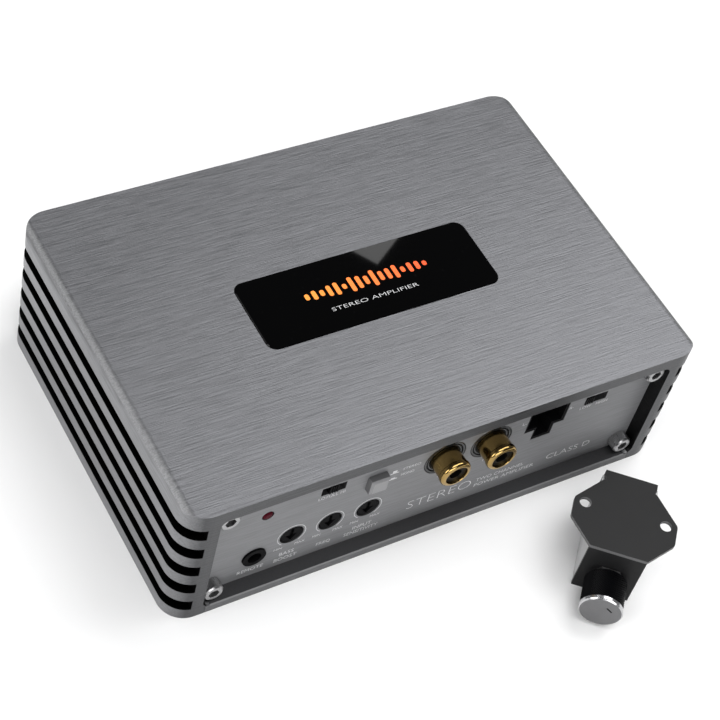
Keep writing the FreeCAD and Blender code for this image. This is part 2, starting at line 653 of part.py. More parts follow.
# Housing.
def heatsink_housing():
    """The extruded top and sides: fins, screw ribs, plan corners, recesses, holes."""
    right = [("bay_half - rib_width", "roof_low"), ("bay_half - rib_width", "rib_high_base"),
             ("bay_half", "rib_high_base"), ("bay_half", "rib_low_top"),
             ("bay_half - rib_width", "rib_low_top"), ("bay_half - rib_width", "base_thick"),
             ("foot_half", "base_thick"), ("foot_half", 0), ("body_width/2", 0)]
    for k in range(5):
        low, high = f"fin_pitch*{2 * k + 1}", f"fin_pitch*{2 * k + 2}"
        right += [("body_width/2", low), ("body_width/2 - groove_depth", low),
                  ("body_width/2 - groove_depth", high), ("body_width/2", high)]
    right.append(("body_width/2", "body_height"))

    body = new_body()
    pad(body, "XZ_Plane", (FRONT, REAR), lambda s: polygon(s, mirrored(right)))
    half, top = number("body_width/2"), number("body_height")
    soften(body, "Fillet", "top_radius", lambda e: same(abs(e.CenterOfMass.x), half)
           and same(e.CenterOfMass.z, top) and e.BoundBox.YLength > 1)

    def outside_corners(sketch):
        rectangle(sketch, ("-body_width", "body_width"), ("-body_depth", "body_depth"))
        rounded_rectangle(sketch, ("-body_width/2", "body_width/2"), (FRONT, REAR), "plan_radius")
    pocket(body, "XY_Plane", (-1, "body_height + 1"), outside_corners)

    def opening(sketch):
        rounded_rectangle(sketch, ("-bay_half", "bay_half"), ("base_thick", "roof_low"), "recess_radius")
    pocket(body, "XZ_Plane", (FRONT, f"-({PANEL_BACK})"), opening)
    pocket(body, "XZ_Plane", (PANEL_BACK, REAR), opening)

    depth = "panel_screw_length - panel_thick + 1"
    pocket(body, "XZ_Plane", (f"-({PANEL_BACK})", f"-({PANEL_BACK}) + {depth}"),
           lambda s: circles(s, PANEL_SCREWS, "thread_radius"))
    pocket(body, "XZ_Plane", (f"{PANEL_BACK} - ({depth})", PANEL_BACK),
           lambda s: circles(s, PANEL_SCREWS, "thread_radius"))
    pocket(body, "XY_Plane", ("base_thick", "base_screw_length + 0.5"),
           lambda s: circles(s, BASE_SCREWS, "thread_radius"))
    pocket(body, "YZ_Plane", ("-bay_half - 5", "-bay_half"),
           lambda s: circles(s, [(y, "bar_z") for y in BAR_SCREWS], "thread_radius"))
    pocket(body, "XY_Plane", ("body_height - badge_pocket", "body_height + 1"), lambda s: rounded_rectangle(
        s, ("badge_x - badge_width/2 - badge_gap", "badge_x + badge_width/2 + badge_gap"),
        ("-badge_depth/2 - badge_gap", "badge_depth/2 + badge_gap"), "badge_radius + badge_gap"))
    node("heatsink_housing", body)


def base_plate():
    """The bottom plate between the side walls' feet."""
    body = new_body()
    pad(body, "XY_Plane", (0, "base_thick"), lambda s: rectangle(
        s, ("-foot_half + 0.1", "foot_half - 0.1"), (FRONT, REAR)))
    half = number("body_depth/2")
    soften(body, "Chamfer", "base_bevel", lambda e: same(abs(e.CenterOfMass.y), half)
           and same(e.CenterOfMass.z, number("base_thick")))
    pocket(body, "XY_Plane", (0, "base_thick"), lambda s: circles(s, BASE_SCREWS, "clear_radius"))
    soften(body, "Chamfer", "countersink", at_height(0, "clear_radius"))
    corners = [(x, y) for x in ("bracket_hole_x", "-bracket_hole_x")
               for y in ("bracket_hole_y", "-bracket_hole_y")]
    pocket(body, "XY_Plane", (0, "base_thick"), lambda s: circles(s, corners, "bracket_hole_radius"))
    node("base_plate", body)


def panel_blank(span):
    """An end panel plate with its four screw holes."""
    body = new_body()
    pad(body, "XZ_Plane", span, lambda s: rounded_rectangle(
        s, ("-bay_half + panel_gap", "bay_half - panel_gap"),
        ("base_thick + panel_gap", "roof_low - panel_gap"), "recess_radius + 0.1"))
    pocket(body, "XZ_Plane", span, lambda s: circles(s, PANEL_SCREWS, "clear_radius"))
    return body


def level_outline(sketch, grow="0"):
    """The connector's keyed opening: a square with a latch slot below it."""
    half, latch = f"level_half + {grow}", f"latch_half + {grow}"
    low, floor, high = f"level_low - ({grow})", f"latch_low - ({grow})", f"level_high + {grow}"
    offsets = [(half, high), (half, low), (latch, low), (latch, floor)]
    right = [(f"level_x + {x}", z) for x, z in offsets]
    left = [(f"level_x - ({x})", z) for x, z in reversed(offsets)]
    polygon(sketch, right + left)


def front_panel():
    """The control panel: every cutout is one pocket through the plate."""
    span = (f"-({PANEL_FACE})", f"-({PANEL_BACK})")
    body = panel_blank(span)
    round_holes = (
        ([(x, "pot_z") for x in POTS.values()], "rotor_hole"),
        ([("jack_x", "jack_z")], "jack_bezel + cutout_gap"),
        ([("led_x", "led_z")], "led_radius + led_gap"),
        ([(x, "rca_axis") for x in RCA], "rca_collar + cutout_gap"))
    for centres, radius in round_holes:
        pocket(body, "XZ_Plane", span, lambda s: circles(s, centres, radius))
    for x in ("switch_one_x", "switch_two_x"):
        pocket(body, "XZ_Plane", span, lambda s: rectangle(
            s, (f"{x} - window_half_x", f"{x} + window_half_x"),
            ("switch_z - window_half_z", "switch_z + window_half_z")))
    pocket(body, "XZ_Plane", span, lambda s: rounded_rectangle(
        s, ("button_x - button_half - button_gap", "button_x + button_half + button_gap"),
        ("button_z - button_half - button_gap", "button_z + button_half + button_gap"), "button_bevel"))
    pocket(body, "XZ_Plane", span, lambda s: level_outline(s, "level_wall + cutout_gap"))
    node("front_panel", body)


def rear_panel():
    """The terminal panel: a window for each terminal block and for the fuse holder."""
    span = (PANEL_BACK, PANEL_FACE)
    body = panel_blank(span)
    windows = (
        (f"{POWER[0]} - power_pitch/2", f"{POWER[-1]} + power_pitch/2", "power_high"),
        (f"{SPEAKER[0]} - speaker_pitch/2 - speaker_side", f"{SPEAKER[-1]} + speaker_pitch/2 + speaker_side",
         "speaker_high"),
        ("fuse_x - holder_half", "fuse_x + holder_half", "holder_high"))
    for left, right, high in windows:
        pocket(body, "XZ_Plane", span, lambda s: rectangle(
            s, (f"{left} - cutout_gap", f"{right} + cutout_gap"),
            (f"{MAIN_TOP} - cutout_gap", f"{high} + cutout_gap")))
    node("rear_panel", body)


def badge():
    """The gloss plate let into the top."""
    low = "body_height - badge_pocket"
    body = new_body()
    pad(body, "XY_Plane", (low, f"{low} + badge_thick"), lambda s: rounded_rectangle(
        s, ("badge_x - badge_width/2", "badge_x + badge_width/2"),
        ("-badge_depth/2", "badge_depth/2"), "badge_radius"))
    soften(body, "Chamfer", "badge_bevel", at_height(f"{low} + badge_thick"))
    node("badge", body)


def housing_screws():
    face = f"-({PANEL_FACE})"
    node("front_screws", group(*[cap_screw((x, face, z), "-y") for x, z in PANEL_SCREWS]))
    node("rear_screws", group(*[cap_screw((x, PANEL_FACE, z), "+y") for x, z in PANEL_SCREWS]))
    screws = [sunk_screw((x, y, "sunk_lift"), "-z", "base_screw_length") for x, y in BASE_SCREWS]
    node("base_screws", group(*screws))


# Boards.
def boards():
    """Two circuit boards, what carries them and what joins them."""
    plate = box(("-main_half_x", "main_half_x"), ("-main_half_y", "main_half_y"), ("main_low", MAIN_TOP))
    holes = [rod("z", at, ("main_low", MAIN_TOP), "clear_radius") for at in STANDOFFS]
    node("main_board", cut(plate, *holes))

    plate = box(("-input_half_x", "input_half_x"), ("-main_half_y", "input_rear"), ("input_low", INPUT_TOP))
    holes = [rod("z", at, ("input_low", INPUT_TOP), "clear_radius") for at in POSTS]
    node("input_board", cut(plate, *holes))

    standoffs = []
    for at in STANDOFFS:
        hexagon = prism("standoff_radius", ("base_thick", "main_low"), at)
        standoffs.append(cut(hexagon, rod("z", at, ("base_thick", "main_low"), "thread_radius")))
    node("standoffs", group(*standoffs))

    posts = []
    for at in POSTS:
        post = rod("z", at, (MAIN_TOP, "input_low"), "post_radius")
        posts.append(cut(post, rod("z", at, ("input_low - post_tap", "input_low"), "thread_radius")))
    node("board_posts", group(*posts))

    main = [pan_screw((x, y, MAIN_TOP), "+z", "board_screw_length") for x, y in STANDOFFS]
    upper = [pan_screw((x, y, INPUT_TOP), "+z", "post_screw_length") for x, y in POSTS]
    node("board_screws", group(*main, *upper))

    header = box(("header_left", "header_right"), ("header_front", "header_rear"), (MAIN_TOP, "input_low"))
    node("board_header", header)


# Parts behind the front panel.
def phono_sockets():
    """Two phono sockets in one moulded block: collar, barrel, insulator, contact."""
    left, right = f"{RCA[0]} - rca_side", f"{RCA[1]} + rca_side"
    block = box((left, right), ("-part_face", "-socket_rear"), (f"{INPUT_TOP} + 0.1", "rca_block_top"))
    collars = [rod("y", (x, "rca_axis"), ("-collar_face", "-part_face"), "rca_collar") for x in RCA]
    bores = [rod("y", (x, "rca_axis"), ("-collar_face", "-rca_rear"), "rca_root") for x in RCA]
    node("phono_housing", cut(fuse(block, *collars), *bores))

    root = "collar_face - rca_rear"
    rim = "rca_reach - rca_rear"
    barrel = [("rca_bore", 0), ("rca_root", 0), ("rca_root", root), ("rca_radius", root),
              ("rca_radius", f"{rim} - 2*rca_bevel"), ("rca_radius - rca_bevel", f"{rim} - rca_bevel"),
              ("rca_radius - rca_bevel", rim), ("rca_bore", rim)]
    face = f"{rim} - rca_insulator_sunk"
    insulator = [("rca_pin_hole", "rca_base"), ("rca_bore", "rca_base"),
                 ("rca_bore", face), ("rca_pin_hole", face)]
    tip = f"{rim} - rca_contact_sunk"
    contact = [("rca_contact", "rca_contact_rear"), ("rca_pin_hole", "rca_contact_rear"),
               ("rca_pin_hole", tip), ("rca_contact", tip)]
    for label, points in (("phono_barrels", barrel), ("phono_insulators", insulator),
                          ("phono_contacts", contact)):
        pair = [place(turned(points), x, "-rca_rear", "rca_axis", turn="-y") for x in RCA]
        node(label, group(*pair))


def remote_jack():
    block = box(("jack_x - jack_half", "jack_x + jack_half"), ("-part_face", "-socket_rear"),
                (MAIN_TOP, "jack_z + jack_top"))
    mouth = "-part_face - jack_proud"
    bezel = rod("y", ("jack_x", "jack_z"), (mouth, "-part_face"), "jack_bezel")
    bore = rod("y", ("jack_x", "jack_z"), (mouth, f"{mouth} + jack_length"), "jack_bore")
    node("remote_jack", cut(fuse(block, bezel), bore))


def power_lamp():
    holder = box(("led_x - lamp_half", "led_x + lamp_half"), ("-part_face", "-lamp_rear"),
                 (INPUT_TOP, "led_z + lamp_half"))
    bore = rod("y", ("led_x", "led_z"), ("-part_face", "-lamp_bore_end"), "led_radius + lamp_bore_gap")
    node("lamp_holder", cut(holder, bore))
    lens = turned([(0, 0), ("led_radius", 0), ("led_radius", "led_length"), (0, "led_length")])
    soften(lens, "Fillet", "led_dome", at_height("led_length"))
    node("power_lamp", place(lens, "led_x", "-led_rear", "led_z", turn="-y"))


def potentiometers():
    """Three controls: a fixed body and a rotor with an arrow-shaped driver slot."""
    for name, x in POTS.items():
        block = box((f"{x} - pot_half", f"{x} + pot_half"), ("-part_face", "-pot_rear"),
                    (MAIN_TOP, "pot_top"))
        bore = rod("y", (x, "pot_z"), ("-part_face", "-rotor_end + rotor_gap"), "rotor_bore")
        node(f"{name}_control", cut(block, bore))

        length = "rotor_face - rotor_end"
        rotor = turned([(0, 0), ("rotor_radius", 0), ("rotor_radius", length), (0, length)])
        soften(rotor, "Chamfer", "rotor_bevel", at_height(length))
        arrow = [(0, -2.3), (1.6, 0), (0.45, 0), (0.45, 2.2), (-0.45, 2.2), (-0.45, 0), (-1.6, 0)]
        pocket(rotor, "XY_Plane", (f"{length} - rotor_slot", length), lambda s: polygon(s, arrow))
        place(rotor, x, "-rotor_end", "pot_z", turn="-y")
        node(f"{name}_rotor", rotor)


def slide_switch(name, x, at):
    """A slide switch: body with three legs, and a ribbed actuator."""
    block = box((f"{x} - switch_half_x", f"{x} + switch_half_x"), ("-part_face", "-switch_rear"),
                ("switch_z - switch_half_z", "switch_z + switch_half_z"))
    legs = [box((f"{x} + leg_pitch*{k} - leg_half", f"{x} + leg_pitch*{k} + leg_half"),
                ("-leg_front", "-leg_rear"), (INPUT_TOP, "switch_z - switch_half_z")) for k in (-1, 0, 1)]
    slot = box((f"{x} - window_half_x", f"{x} + window_half_x"), ("-part_face", "-switch_slot_end"),
               ("switch_z - window_half_z", "switch_z + window_half_z"))
    node(f"{name}_switch", cut(fuse(block, *legs), slot))

    actuator = box((f"{at} - slider_half_x", f"{at} + slider_half_x"), ("-slider_face", "-slider_end"),
                   ("switch_z - slider_half_z", "switch_z + slider_half_z"))
    grooves = [box((f"{at} + slider_rib*{k} - slider_rib_half", f"{at} + slider_rib*{k} + slider_rib_half"),
                   ("-slider_face", "-slider_face + slider_rib_deep"),
                   ("switch_z - slider_half_z", "switch_z + slider_half_z")) for k in (-1, 0, 1)]
    node(f"{name}_slider", cut(actuator, *grooves))


def mode_button():
    """A latching push switch and its square button."""
    block = box(("button_x - mode_half", "button_x + mode_half"), ("-part_face", "-mode_rear"),
                (INPUT_TOP, "button_z + mode_top"))
    reach = "button_half + button_slot_gap"
    slot = box((f"button_x - ({reach})", f"button_x + {reach}"), ("-part_face", "-mode_slot_end"),
               (f"button_z - ({reach})", f"button_z + {reach}"))
    node("mode_switch", cut(block, slot))
    body = new_body()
    pad(body, "XZ_Plane", ("-button_face", "-button_end"), lambda s: rectangle(
        s, ("button_x - button_half", "button_x + button_half"),
        ("button_z - button_half", "button_z + button_half")))
    face = -number("button_face")
    soften(body, "Chamfer", "button_bevel", lambda e: same(e.BoundBox.YMin, face)
           and same(e.BoundBox.YMax, face))
    node("mode_button", body)


def level_connector():
    """The keyed four-pin connector for speaker-level input."""
    face = "-collar_face"
    body = new_body()
    pad(body, "XZ_Plane", (face, "-level_rear"), lambda s: level_outline(s, "level_wall"))
    pocket(body, "XZ_Plane", (face, f"{face} + level_depth"), level_outline)
    node("level_connector", body)
    pins = []
    for i in (-0.5, 0.5):
        for k in (-0.5, 0.5):
            x, z = f"level_x + level_pitch*{i}", f"(level_low + level_high)/2 + level_pitch*{k}"
            pins.append(box((f"{x} - level_pin_half", f"{x} + level_pin_half"),
                            (f"{face} + level_pin_sunk", f"{face} + level_depth"),
                            (f"{z} - level_pin_half", f"{z} + level_pin_half")))
    node("level_pins", group(*pins))


# Parts behind the rear panel.
def terminal_row(label, centres, edge, reach, high, wire):
    """A screw terminal block, with its clamps and set screws: returns those two lists."""
    half = f"{wire} + clamp_side"
    axis = f"{MAIN_TOP} + clamp_wall + {half}"
    screw = f"{wire}*0.55"
    block = box((f"{centres[0]} - {edge}", f"{centres[-1]} + {edge}"), ("block_front", reach),
                (MAIN_TOP, high))
    tools, clamps, screws = [], [], []
    for x in centres:
        y = f"{reach} - clamp_wall - ({half})"
        side = (f"{x} - ({half})", f"{x} + {half}")
        along = (f"{y} - ({half})", f"{y} + {half}")
        top = f"{axis} + {half}"
        tools.append(box(side, along, (f"{axis} - ({half})", top)))
        tools.append(rod("y", (x, axis), (along[1], reach), f"{wire} + clamp_entry"))
        tools.append(rod("z", (x, y), (top, high), f"{screw} + set_gap"))
        cube = box(side, along, (f"{axis} - ({half})", top))
        clamps.append(cut(cube, rod("y", (x, axis), along, wire),
                          rod("z", (x, y), (f"{axis} + {wire}*0.8", top), screw)))
        screws.append(set_screw(x, y, f"{axis} + {wire} + set_above", f"{high} - set_below", screw))
    node(label, cut(block, *tools))
    return clamps, screws


def terminals():
    clamps, screws = terminal_row("power_terminals", POWER, "power_pitch/2", "power_reach",
                                  "power_high", "power_wire")
    more = terminal_row("speaker_terminals", SPEAKER, "(speaker_pitch/2 + speaker_side)", "speaker_reach",
                        "speaker_high", "speaker_wire")
    node("terminal_clamps", group(*clamps, *more[0]))
    node("terminal_screws", group(*screws, *more[1]))


def fuse_and_holder():
    """A blade fuse that pulls out of its holder through the rear panel."""
    def across(centre, half):
        return f"{centre} - ({half})", f"{centre} + {half}"
    block = box(across("fuse_x", "holder_half"), ("block_front", "holder_reach"), (MAIN_TOP, "holder_high"))
    floor = "fuse_head_low - fuse_gap"
    mouth = box(across("fuse_x", "fuse_half_x + fuse_gap"), (floor, "holder_reach"),
                across("fuse_z", "fuse_half_z + fuse_gap"))
    sides = ("fuse_x - fuse_blade_x", "fuse_x + fuse_blade_x")
    slots = [box(across(x, "fuse_blade_half + fuse_gap"), ("fuse_slot_low", floor),
                 across("fuse_z", "fuse_blade_thick/2 + blade_gap")) for x in sides]
    node("fuse_holder", cut(block, mouth, *slots))

    body = new_body()
    pad(body, "XZ_Plane", ("fuse_head_low", "fuse_head_high"), lambda s: rounded_rectangle(
        s, across("fuse_x", "fuse_half_x"), across("fuse_z", "fuse_half_z"), "fuse_corner"))
    for side in (-1, 1):
        face = "fuse_z + fuse_half_z - fuse_grip" if side > 0 else "fuse_z - fuse_half_z"
        pocket(body, "XY_Plane", (face, f"{face} + fuse_grip"), lambda s: rectangle(
            s, across("fuse_x", "fuse_grip_half"),
            ("fuse_head_high - fuse_grip_low", "fuse_head_high - fuse_grip_high")))
    node("fuse_head", body)
    blades = [box(across(x, "fuse_blade_half"), ("fuse_blade_low", "fuse_head_low"),
                  across("fuse_z", "fuse_blade_thick/2")) for x in sides]
    node("fuse_blades", group(*blades))


# Power parts on the main board.
def transformer():
    """A toroidal core with wire loops round its section."""
    height = f"{MAIN_TOP} + wire_loop + wire_radius + winding_gap"
    node("toroid_core", ring("toroid_ring", "toroid_core_radius", ("toroid_x", "toroid_y", height)))
    loops = []
    for k in range(WIRE_LOOPS):
        angle = 360.0 * k / WIRE_LOOPS
        along = (f"toroid_x + toroid_ring*cos({angle})", f"toroid_y + toroid_ring*sin({angle})", height)
        loop = ring("wire_loop", "wire_radius", along)
        loop.Placement.Rotation = FreeCAD.Rotation(Vector(0, 0, 1), angle) * TURNS["-y"]
        loops.append(loop)
    node("toroid_winding", group(*loops))


def board_parts():
    """Filter capacitors, output chokes and film capacitors."""
    cans = []
    for y in CAN_PLACES:
        can = turned([(0, 0), ("can_radius", 0), ("can_radius", "can_height"), (0, "can_height")])
        soften(can, "Fillet", "can_round", at_height("can_height"))
        pocket(can, "XY_Plane", ("can_height - vent_depth", "can_height"), lambda s: rectangle(
            s, ("-vent_half", "vent_half"), ("-vent_half_width", "vent_half_width")))
        cans.append(place(can, "can_x", y, MAIN_TOP))
    node("filter_capacitors", group(*cans))

    chokes = []
    side = ("-choke_half", "choke_half")
    for y in CHOKE_PLACES:
        choke = new_body()
        pad(choke, "XY_Plane", (0, "choke_height"), lambda s: rounded_rectangle(
            s, side, side, "choke_corner"))
        soften(choke, "Chamfer", "choke_bevel", at_height("choke_height"))
        chokes.append(place(choke, "choke_x", y, MAIN_TOP))
    node("output_chokes", group(*chokes))

    films = [box(("film_left", "film_right"), (f"{y} - film_half", f"{y} + film_half"),
                 (MAIN_TOP, f"{MAIN_TOP} + film_height")) for y in FILM_PLACES]
    node("film_capacitors", group(*films))


def power_stage():
    """Power transistors clamped to the left wall, through a thermal pad, by one bar."""
    wall = "-bay_half"
    tab = f"{wall} + pad_thick"
    pad_sheet = box((wall, tab), ("pad_front", "pad_rear"), ("pad_low", "pad_high"))
    holes = [rod("x", (y, "bar_z"), (wall, tab), "clear_radius") for y in BAR_SCREWS]
    node("thermal_pad", cut(pad_sheet, *holes))

    devices = []
    front = f"{tab} + device_thick"
    for k in range(4):
        y = f"device_first_y + device_pitch*{k}"
        across = (f"{y} - device_half", f"{y} + device_half")
        case = box((tab, front), across, ("device_low", "device_high"))
        fin = box((tab, f"{tab} + tab_thick"), across, ("device_high", "tab_high"))
        legs = []
        for step in (-1, 0, 1):
            leg = (f"{y} + lead_pitch*{step} - lead_half", f"{y} + lead_pitch*{step} + lead_half")
            legs.append(box((front, "lead_end"), leg, ("lead_low", "lead_low + lead_thick")))
            legs.append(box(("lead_end - lead_thick", "lead_end"), leg, (MAIN_TOP, "lead_low + lead_thick")))
        hole = rod("x", (y, "tab_hole_z"), (tab, f"{tab} + tab_thick"), "tab_hole")
        devices.append(cut(fuse(case, fin, *legs), hole))
    node("power_transistors", group(*devices))

    back = f"{front} + bar_thick"
    bar = box((front, back), ("bar_front", "bar_rear"), ("bar_z - bar_half", "bar_z + bar_half"))
    holes = [rod("x", (y, "bar_z"), (front, back), "clear_radius") for y in BAR_SCREWS]
    node("clamp_bar", cut(bar, *holes))
    screws = [pan_screw((back, y, "bar_z"), "+x", "bar_screw_length") for y in BAR_SCREWS]
    node("clamp_screws", group(*screws))


# Level control, built about its own centre and then stood beside the amplifier.
def stand(label, item):
    """Moves a finished piece of the level control to where it stands."""
    yaw = FreeCAD.Rotation(Vector(0, 0, 1), number("remote_yaw"))
    item.Placement = FreeCAD.Placement(Vector(), yaw).multiply(item.Placement)
    for corner, formula in (("x", "remote_x"), ("y", "remote_y")):
        item.setExpression(f"Placement.Base.{corner}", None)
    item.Placement.Base += Vector(number("remote_x"), number("remote_y"), 0)
    node(label, item)


def remote_bracket():
    """A folded sheet: a top plate with two ears, a front face and a rear flange."""
    top = ("remote_high - sheet", "remote_high")
    notch = "flange_half - notch_deep"
    right = [("remote_half", "-remote_front"), ("ear_half", "ear_front"), ("ear_half", "ear_rear"),
             ("flange_half + 0.3", "ear_root"), (notch, "notch_front"), (notch, "notch_rear"),
             ("flange_half", "notch_rear"), ("flange_half", "remote_back")]
    body = new_body()
    pad(body, "XY_Plane", top, lambda s: polygon(s, mirrored(right)))
    ears = number("ear_half")
    soften(body, "Fillet", "ear_corner", lambda e: e.BoundBox.ZLength > 0.5
           and same(abs(e.CenterOfMass.x), ears))
    pad(body, "XZ_Plane", ("-remote_front", "-remote_front + sheet"), lambda s: rectangle(
        s, ("-remote_half", "remote_half"), (0, "remote_high - sheet")))
    pad(body, "XZ_Plane", ("remote_back - sheet", "remote_back"), lambda s: rectangle(
        s, ("-flange_half", "flange_half"), (0, "remote_high - sheet")))
    pocket(body, "XY_Plane", top, lambda s: circles(
        s, [("ear_hole_x", 0), ("-ear_hole_x", 0)], "ear_hole_radius"))
    pocket(body, "XZ_Plane", ("-remote_front", "-remote_front + sheet"),
           lambda s: circles(s, [(0, "knob_axis")], "bush_radius + 0.1"))
    pocket(body, "XZ_Plane", ("remote_back - sheet", "remote_back"), lambda s: circles(
        s, [(0, "knob_axis")], "socket_radius + 0.1"))
    pocket(body, "XZ_Plane", ("remote_back - sheet", "remote_back"), lambda s: circles(
        s, FLANGE_SCREWS, "flange_hole"))
    stand("remote_bracket", body)


def remote_housing():
    """A hollow box inside the folded sheet."""
    front, rear = "-remote_front + sheet + remote_gap", "remote_back - sheet - remote_gap"
    side, high = "remote_half - remote_side_gap", "remote_high - sheet - remote_gap"
    shell = box((f"-({side})", side), (front, rear), ("remote_side_gap", high))
    hollow = box((f"-({side}) + remote_wall", f"{side} - remote_wall"),
                 (f"{front} + remote_wall", f"{rear} - remote_wall"),
                 ("remote_side_gap + remote_wall", f"{high} - remote_wall"))
    bush = rod("y", (0, "knob_axis"), (front, f"{front} + remote_wall"), "bush_radius + 0.1")
    nozzle = rod("y", (0, "knob_axis"), (f"{rear} - remote_wall", rear), "socket_radius + 0.1")
    screws = [rod("y", at, (f"{rear} - remote_wall", rear), "flange_screw_radius") for at in FLANGE_SCREWS]
    stand("remote_housing", cut(shell, hollow, bush, nozzle, *screws))


def small_screw(x, z):
    """A slotted screw that holds the rear flange to the housing."""
    face = "remote_back + flange_head_high"
    head = fuse(rod("y", (x, z), ("remote_back", face), "flange_head"),
                rod("y", (x, z), ("remote_back - flange_screw_length", "remote_back"), "flange_screw_radius"))
    slot = box((f"{x} - flange_head", f"{x} + flange_head"), (f"{face} - flange_slot_depth", face),
               (f"{z} - flange_slot_half", f"{z} + flange_slot_half"))
    return cut(head, slot)


def remote_control():
    """What turns in the level control and what it turns in."""
    remote_bracket()
    remote_housing()
    stand("remote_screws", group(*[small_screw(x, z) for x, z in FLANGE_SCREWS]))

    inner = "-remote_front + sheet + remote_gap + remote_wall"
    tip = "-remote_front - bush_reach"
    block = box(("-pot_unit_half", "pot_unit_half"), (inner, f"{inner} + pot_unit_deep"),
                ("pot_unit_low", "pot_unit_high"))
    bush = rod("y", (0, "knob_axis"), (tip, inner), "bush_radius")
    bore = rod("y", (0, "knob_axis"), (tip, f"{inner} + bush_deep"), "bush_bore")
    stand("remote_potentiometer", cut(fuse(block, bush), bore))

    nut = cut(prism("nut_radius", (0, "nut_thick")), rod("z", (0, 0), (0, "nut_thick"), "bush_radius"))
    place(nut, 0, "-remote_front", "knob_axis", turn="-y")
    stand("remote_nut", nut)

    shaft = rod("y", (0, "knob_axis"), ("-knob_high + knob_web", f"{inner} + bush_deep - shaft_gap"),
                "shaft_radius")
    stand("remote_shaft", shaft)

    length = "knob_high - knob_low"
    seat, web = f"{length} - cap_spigot_long", f"{length} - knob_web"
    recess = "shaft_radius + knob_bore_side"
    knob = turned([(recess, 0), ("knob_radius", 0), ("knob_radius", length), ("cap_spigot", length),
                   ("cap_spigot", seat), (0, seat), (0, web), ("shaft_radius", web),
                   ("shaft_radius", "knob_recess"), (recess, "knob_recess")])
    place(knob, 0, "-knob_low", "knob_axis", turn="-y")
    stand("remote_knob", knob)

    thick = "knob_cap_high - knob_high"
    cap = turned([(0, "-cap_spigot_long"), ("cap_spigot", "-cap_spigot_long"), ("cap_spigot", 0),
                  ("knob_radius", 0), ("knob_radius", f"{thick} - knob_cap_bevel"),
                  ("knob_radius - knob_cap_bevel", thick), (0, thick)])
    place(cap, 0, "-knob_high", "knob_axis", turn="-y")
    stand("remote_knob_cap", cap)

    wall = "remote_back - sheet - remote_gap - remote_wall"
    end = "remote_back + lead_socket_proud"
    block = box(("-lead_socket_half", "lead_socket_half"), (0, wall), ("pot_unit_low", "lead_socket_high"))
    nozzle = rod("y", (0, "knob_axis"), (wall, end), "socket_radius")
    bore = rod("y", (0, "knob_axis"), ("remote_back - lead_socket_deep", end), "jack_bore")
    stand("remote_socket", cut(fuse(block, nozzle), bore))


# Assembly.
heatsink_housing()
base_plate()
front_panel()
rear_panel()
badge()
housing_screws()
boards()
phono_sockets()
remote_jack()
power_lamp()
potentiometers()
slide_switch("crossover", "switch_one_x", "switch_one_x")
slide_switch("input_mode", "switch_two_x", "switch_two_x - slider_travel")
mode_button()
level_connector()
terminals()
fuse_and_holder()
transformer()
board_parts()
power_stage()
remote_control()
doc.recompute()

for item in doc.Objects:
    if "Invalid" in item.State or "Error" in item.State:
        raise RuntimeError(f"{item.Name} ({item.Label}) did not build: {item.State}")
for item in sub_parts:
    if item.Shape.isNull() or not item.Shape.isValid():
        raise RuntimeError(f"{item.Label} has no valid shape")

os.makedirs("parts", exist_ok=True)
for item in sub_parts:
    item.Shape.exportStep(f"parts/{item.Label}.step")
print(f"{len(sub_parts)} sub-parts written")
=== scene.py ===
import json
import math

import bmesh
import bpy
from mathutils import Matrix, Vector


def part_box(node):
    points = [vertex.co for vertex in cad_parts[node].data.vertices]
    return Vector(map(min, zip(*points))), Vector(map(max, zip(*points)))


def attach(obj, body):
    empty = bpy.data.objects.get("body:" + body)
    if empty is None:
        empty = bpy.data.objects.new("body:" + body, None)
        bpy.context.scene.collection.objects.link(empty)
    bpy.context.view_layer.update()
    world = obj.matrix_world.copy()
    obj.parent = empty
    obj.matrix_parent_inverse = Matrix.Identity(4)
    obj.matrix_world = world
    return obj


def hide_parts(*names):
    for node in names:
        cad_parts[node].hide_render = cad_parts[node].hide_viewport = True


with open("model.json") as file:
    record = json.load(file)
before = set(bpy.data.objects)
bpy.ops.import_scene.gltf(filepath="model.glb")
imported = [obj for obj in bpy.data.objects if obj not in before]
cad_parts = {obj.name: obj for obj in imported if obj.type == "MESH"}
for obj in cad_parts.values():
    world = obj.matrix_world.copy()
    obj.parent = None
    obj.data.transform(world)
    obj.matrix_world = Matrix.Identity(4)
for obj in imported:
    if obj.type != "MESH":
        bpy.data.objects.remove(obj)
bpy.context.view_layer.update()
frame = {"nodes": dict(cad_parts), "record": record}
record = frame["record"]
joints = {joint["name"]: joint for joint in record["behaviour"]["joints"]}
mm = 0.001
print("frame loaded:", len(frame["nodes"]), "parts")


class Wire:
    def __init__(self, paint, socket):
        self.paint = paint
        self.socket = socket

    def maths(self, operation, first, second=0.0):
        return self.paint.add("ShaderNodeMath", {"operation": operation}, {0: first, 1: second})

    def __add__(self, other):
        return self.maths("ADD", self, other)

    def __sub__(self, other):
        return self.maths("SUBTRACT", self, other)

    def __mul__(self, other):
        return self.maths("MULTIPLY", self, other)

    def __pow__(self, other):
        return self.maths("POWER", self, other)

    def __gt__(self, other):
        return self.maths("GREATER_THAN", self, other)

    def __lt__(self, other):
        return self.maths("LESS_THAN", self, other)

    def __rsub__(self, other):
        return self.maths("SUBTRACT", other, self)

    def __abs__(self):
        return self.maths("ABSOLUTE", self)

    __radd__ = __add__
    __rmul__ = __mul__


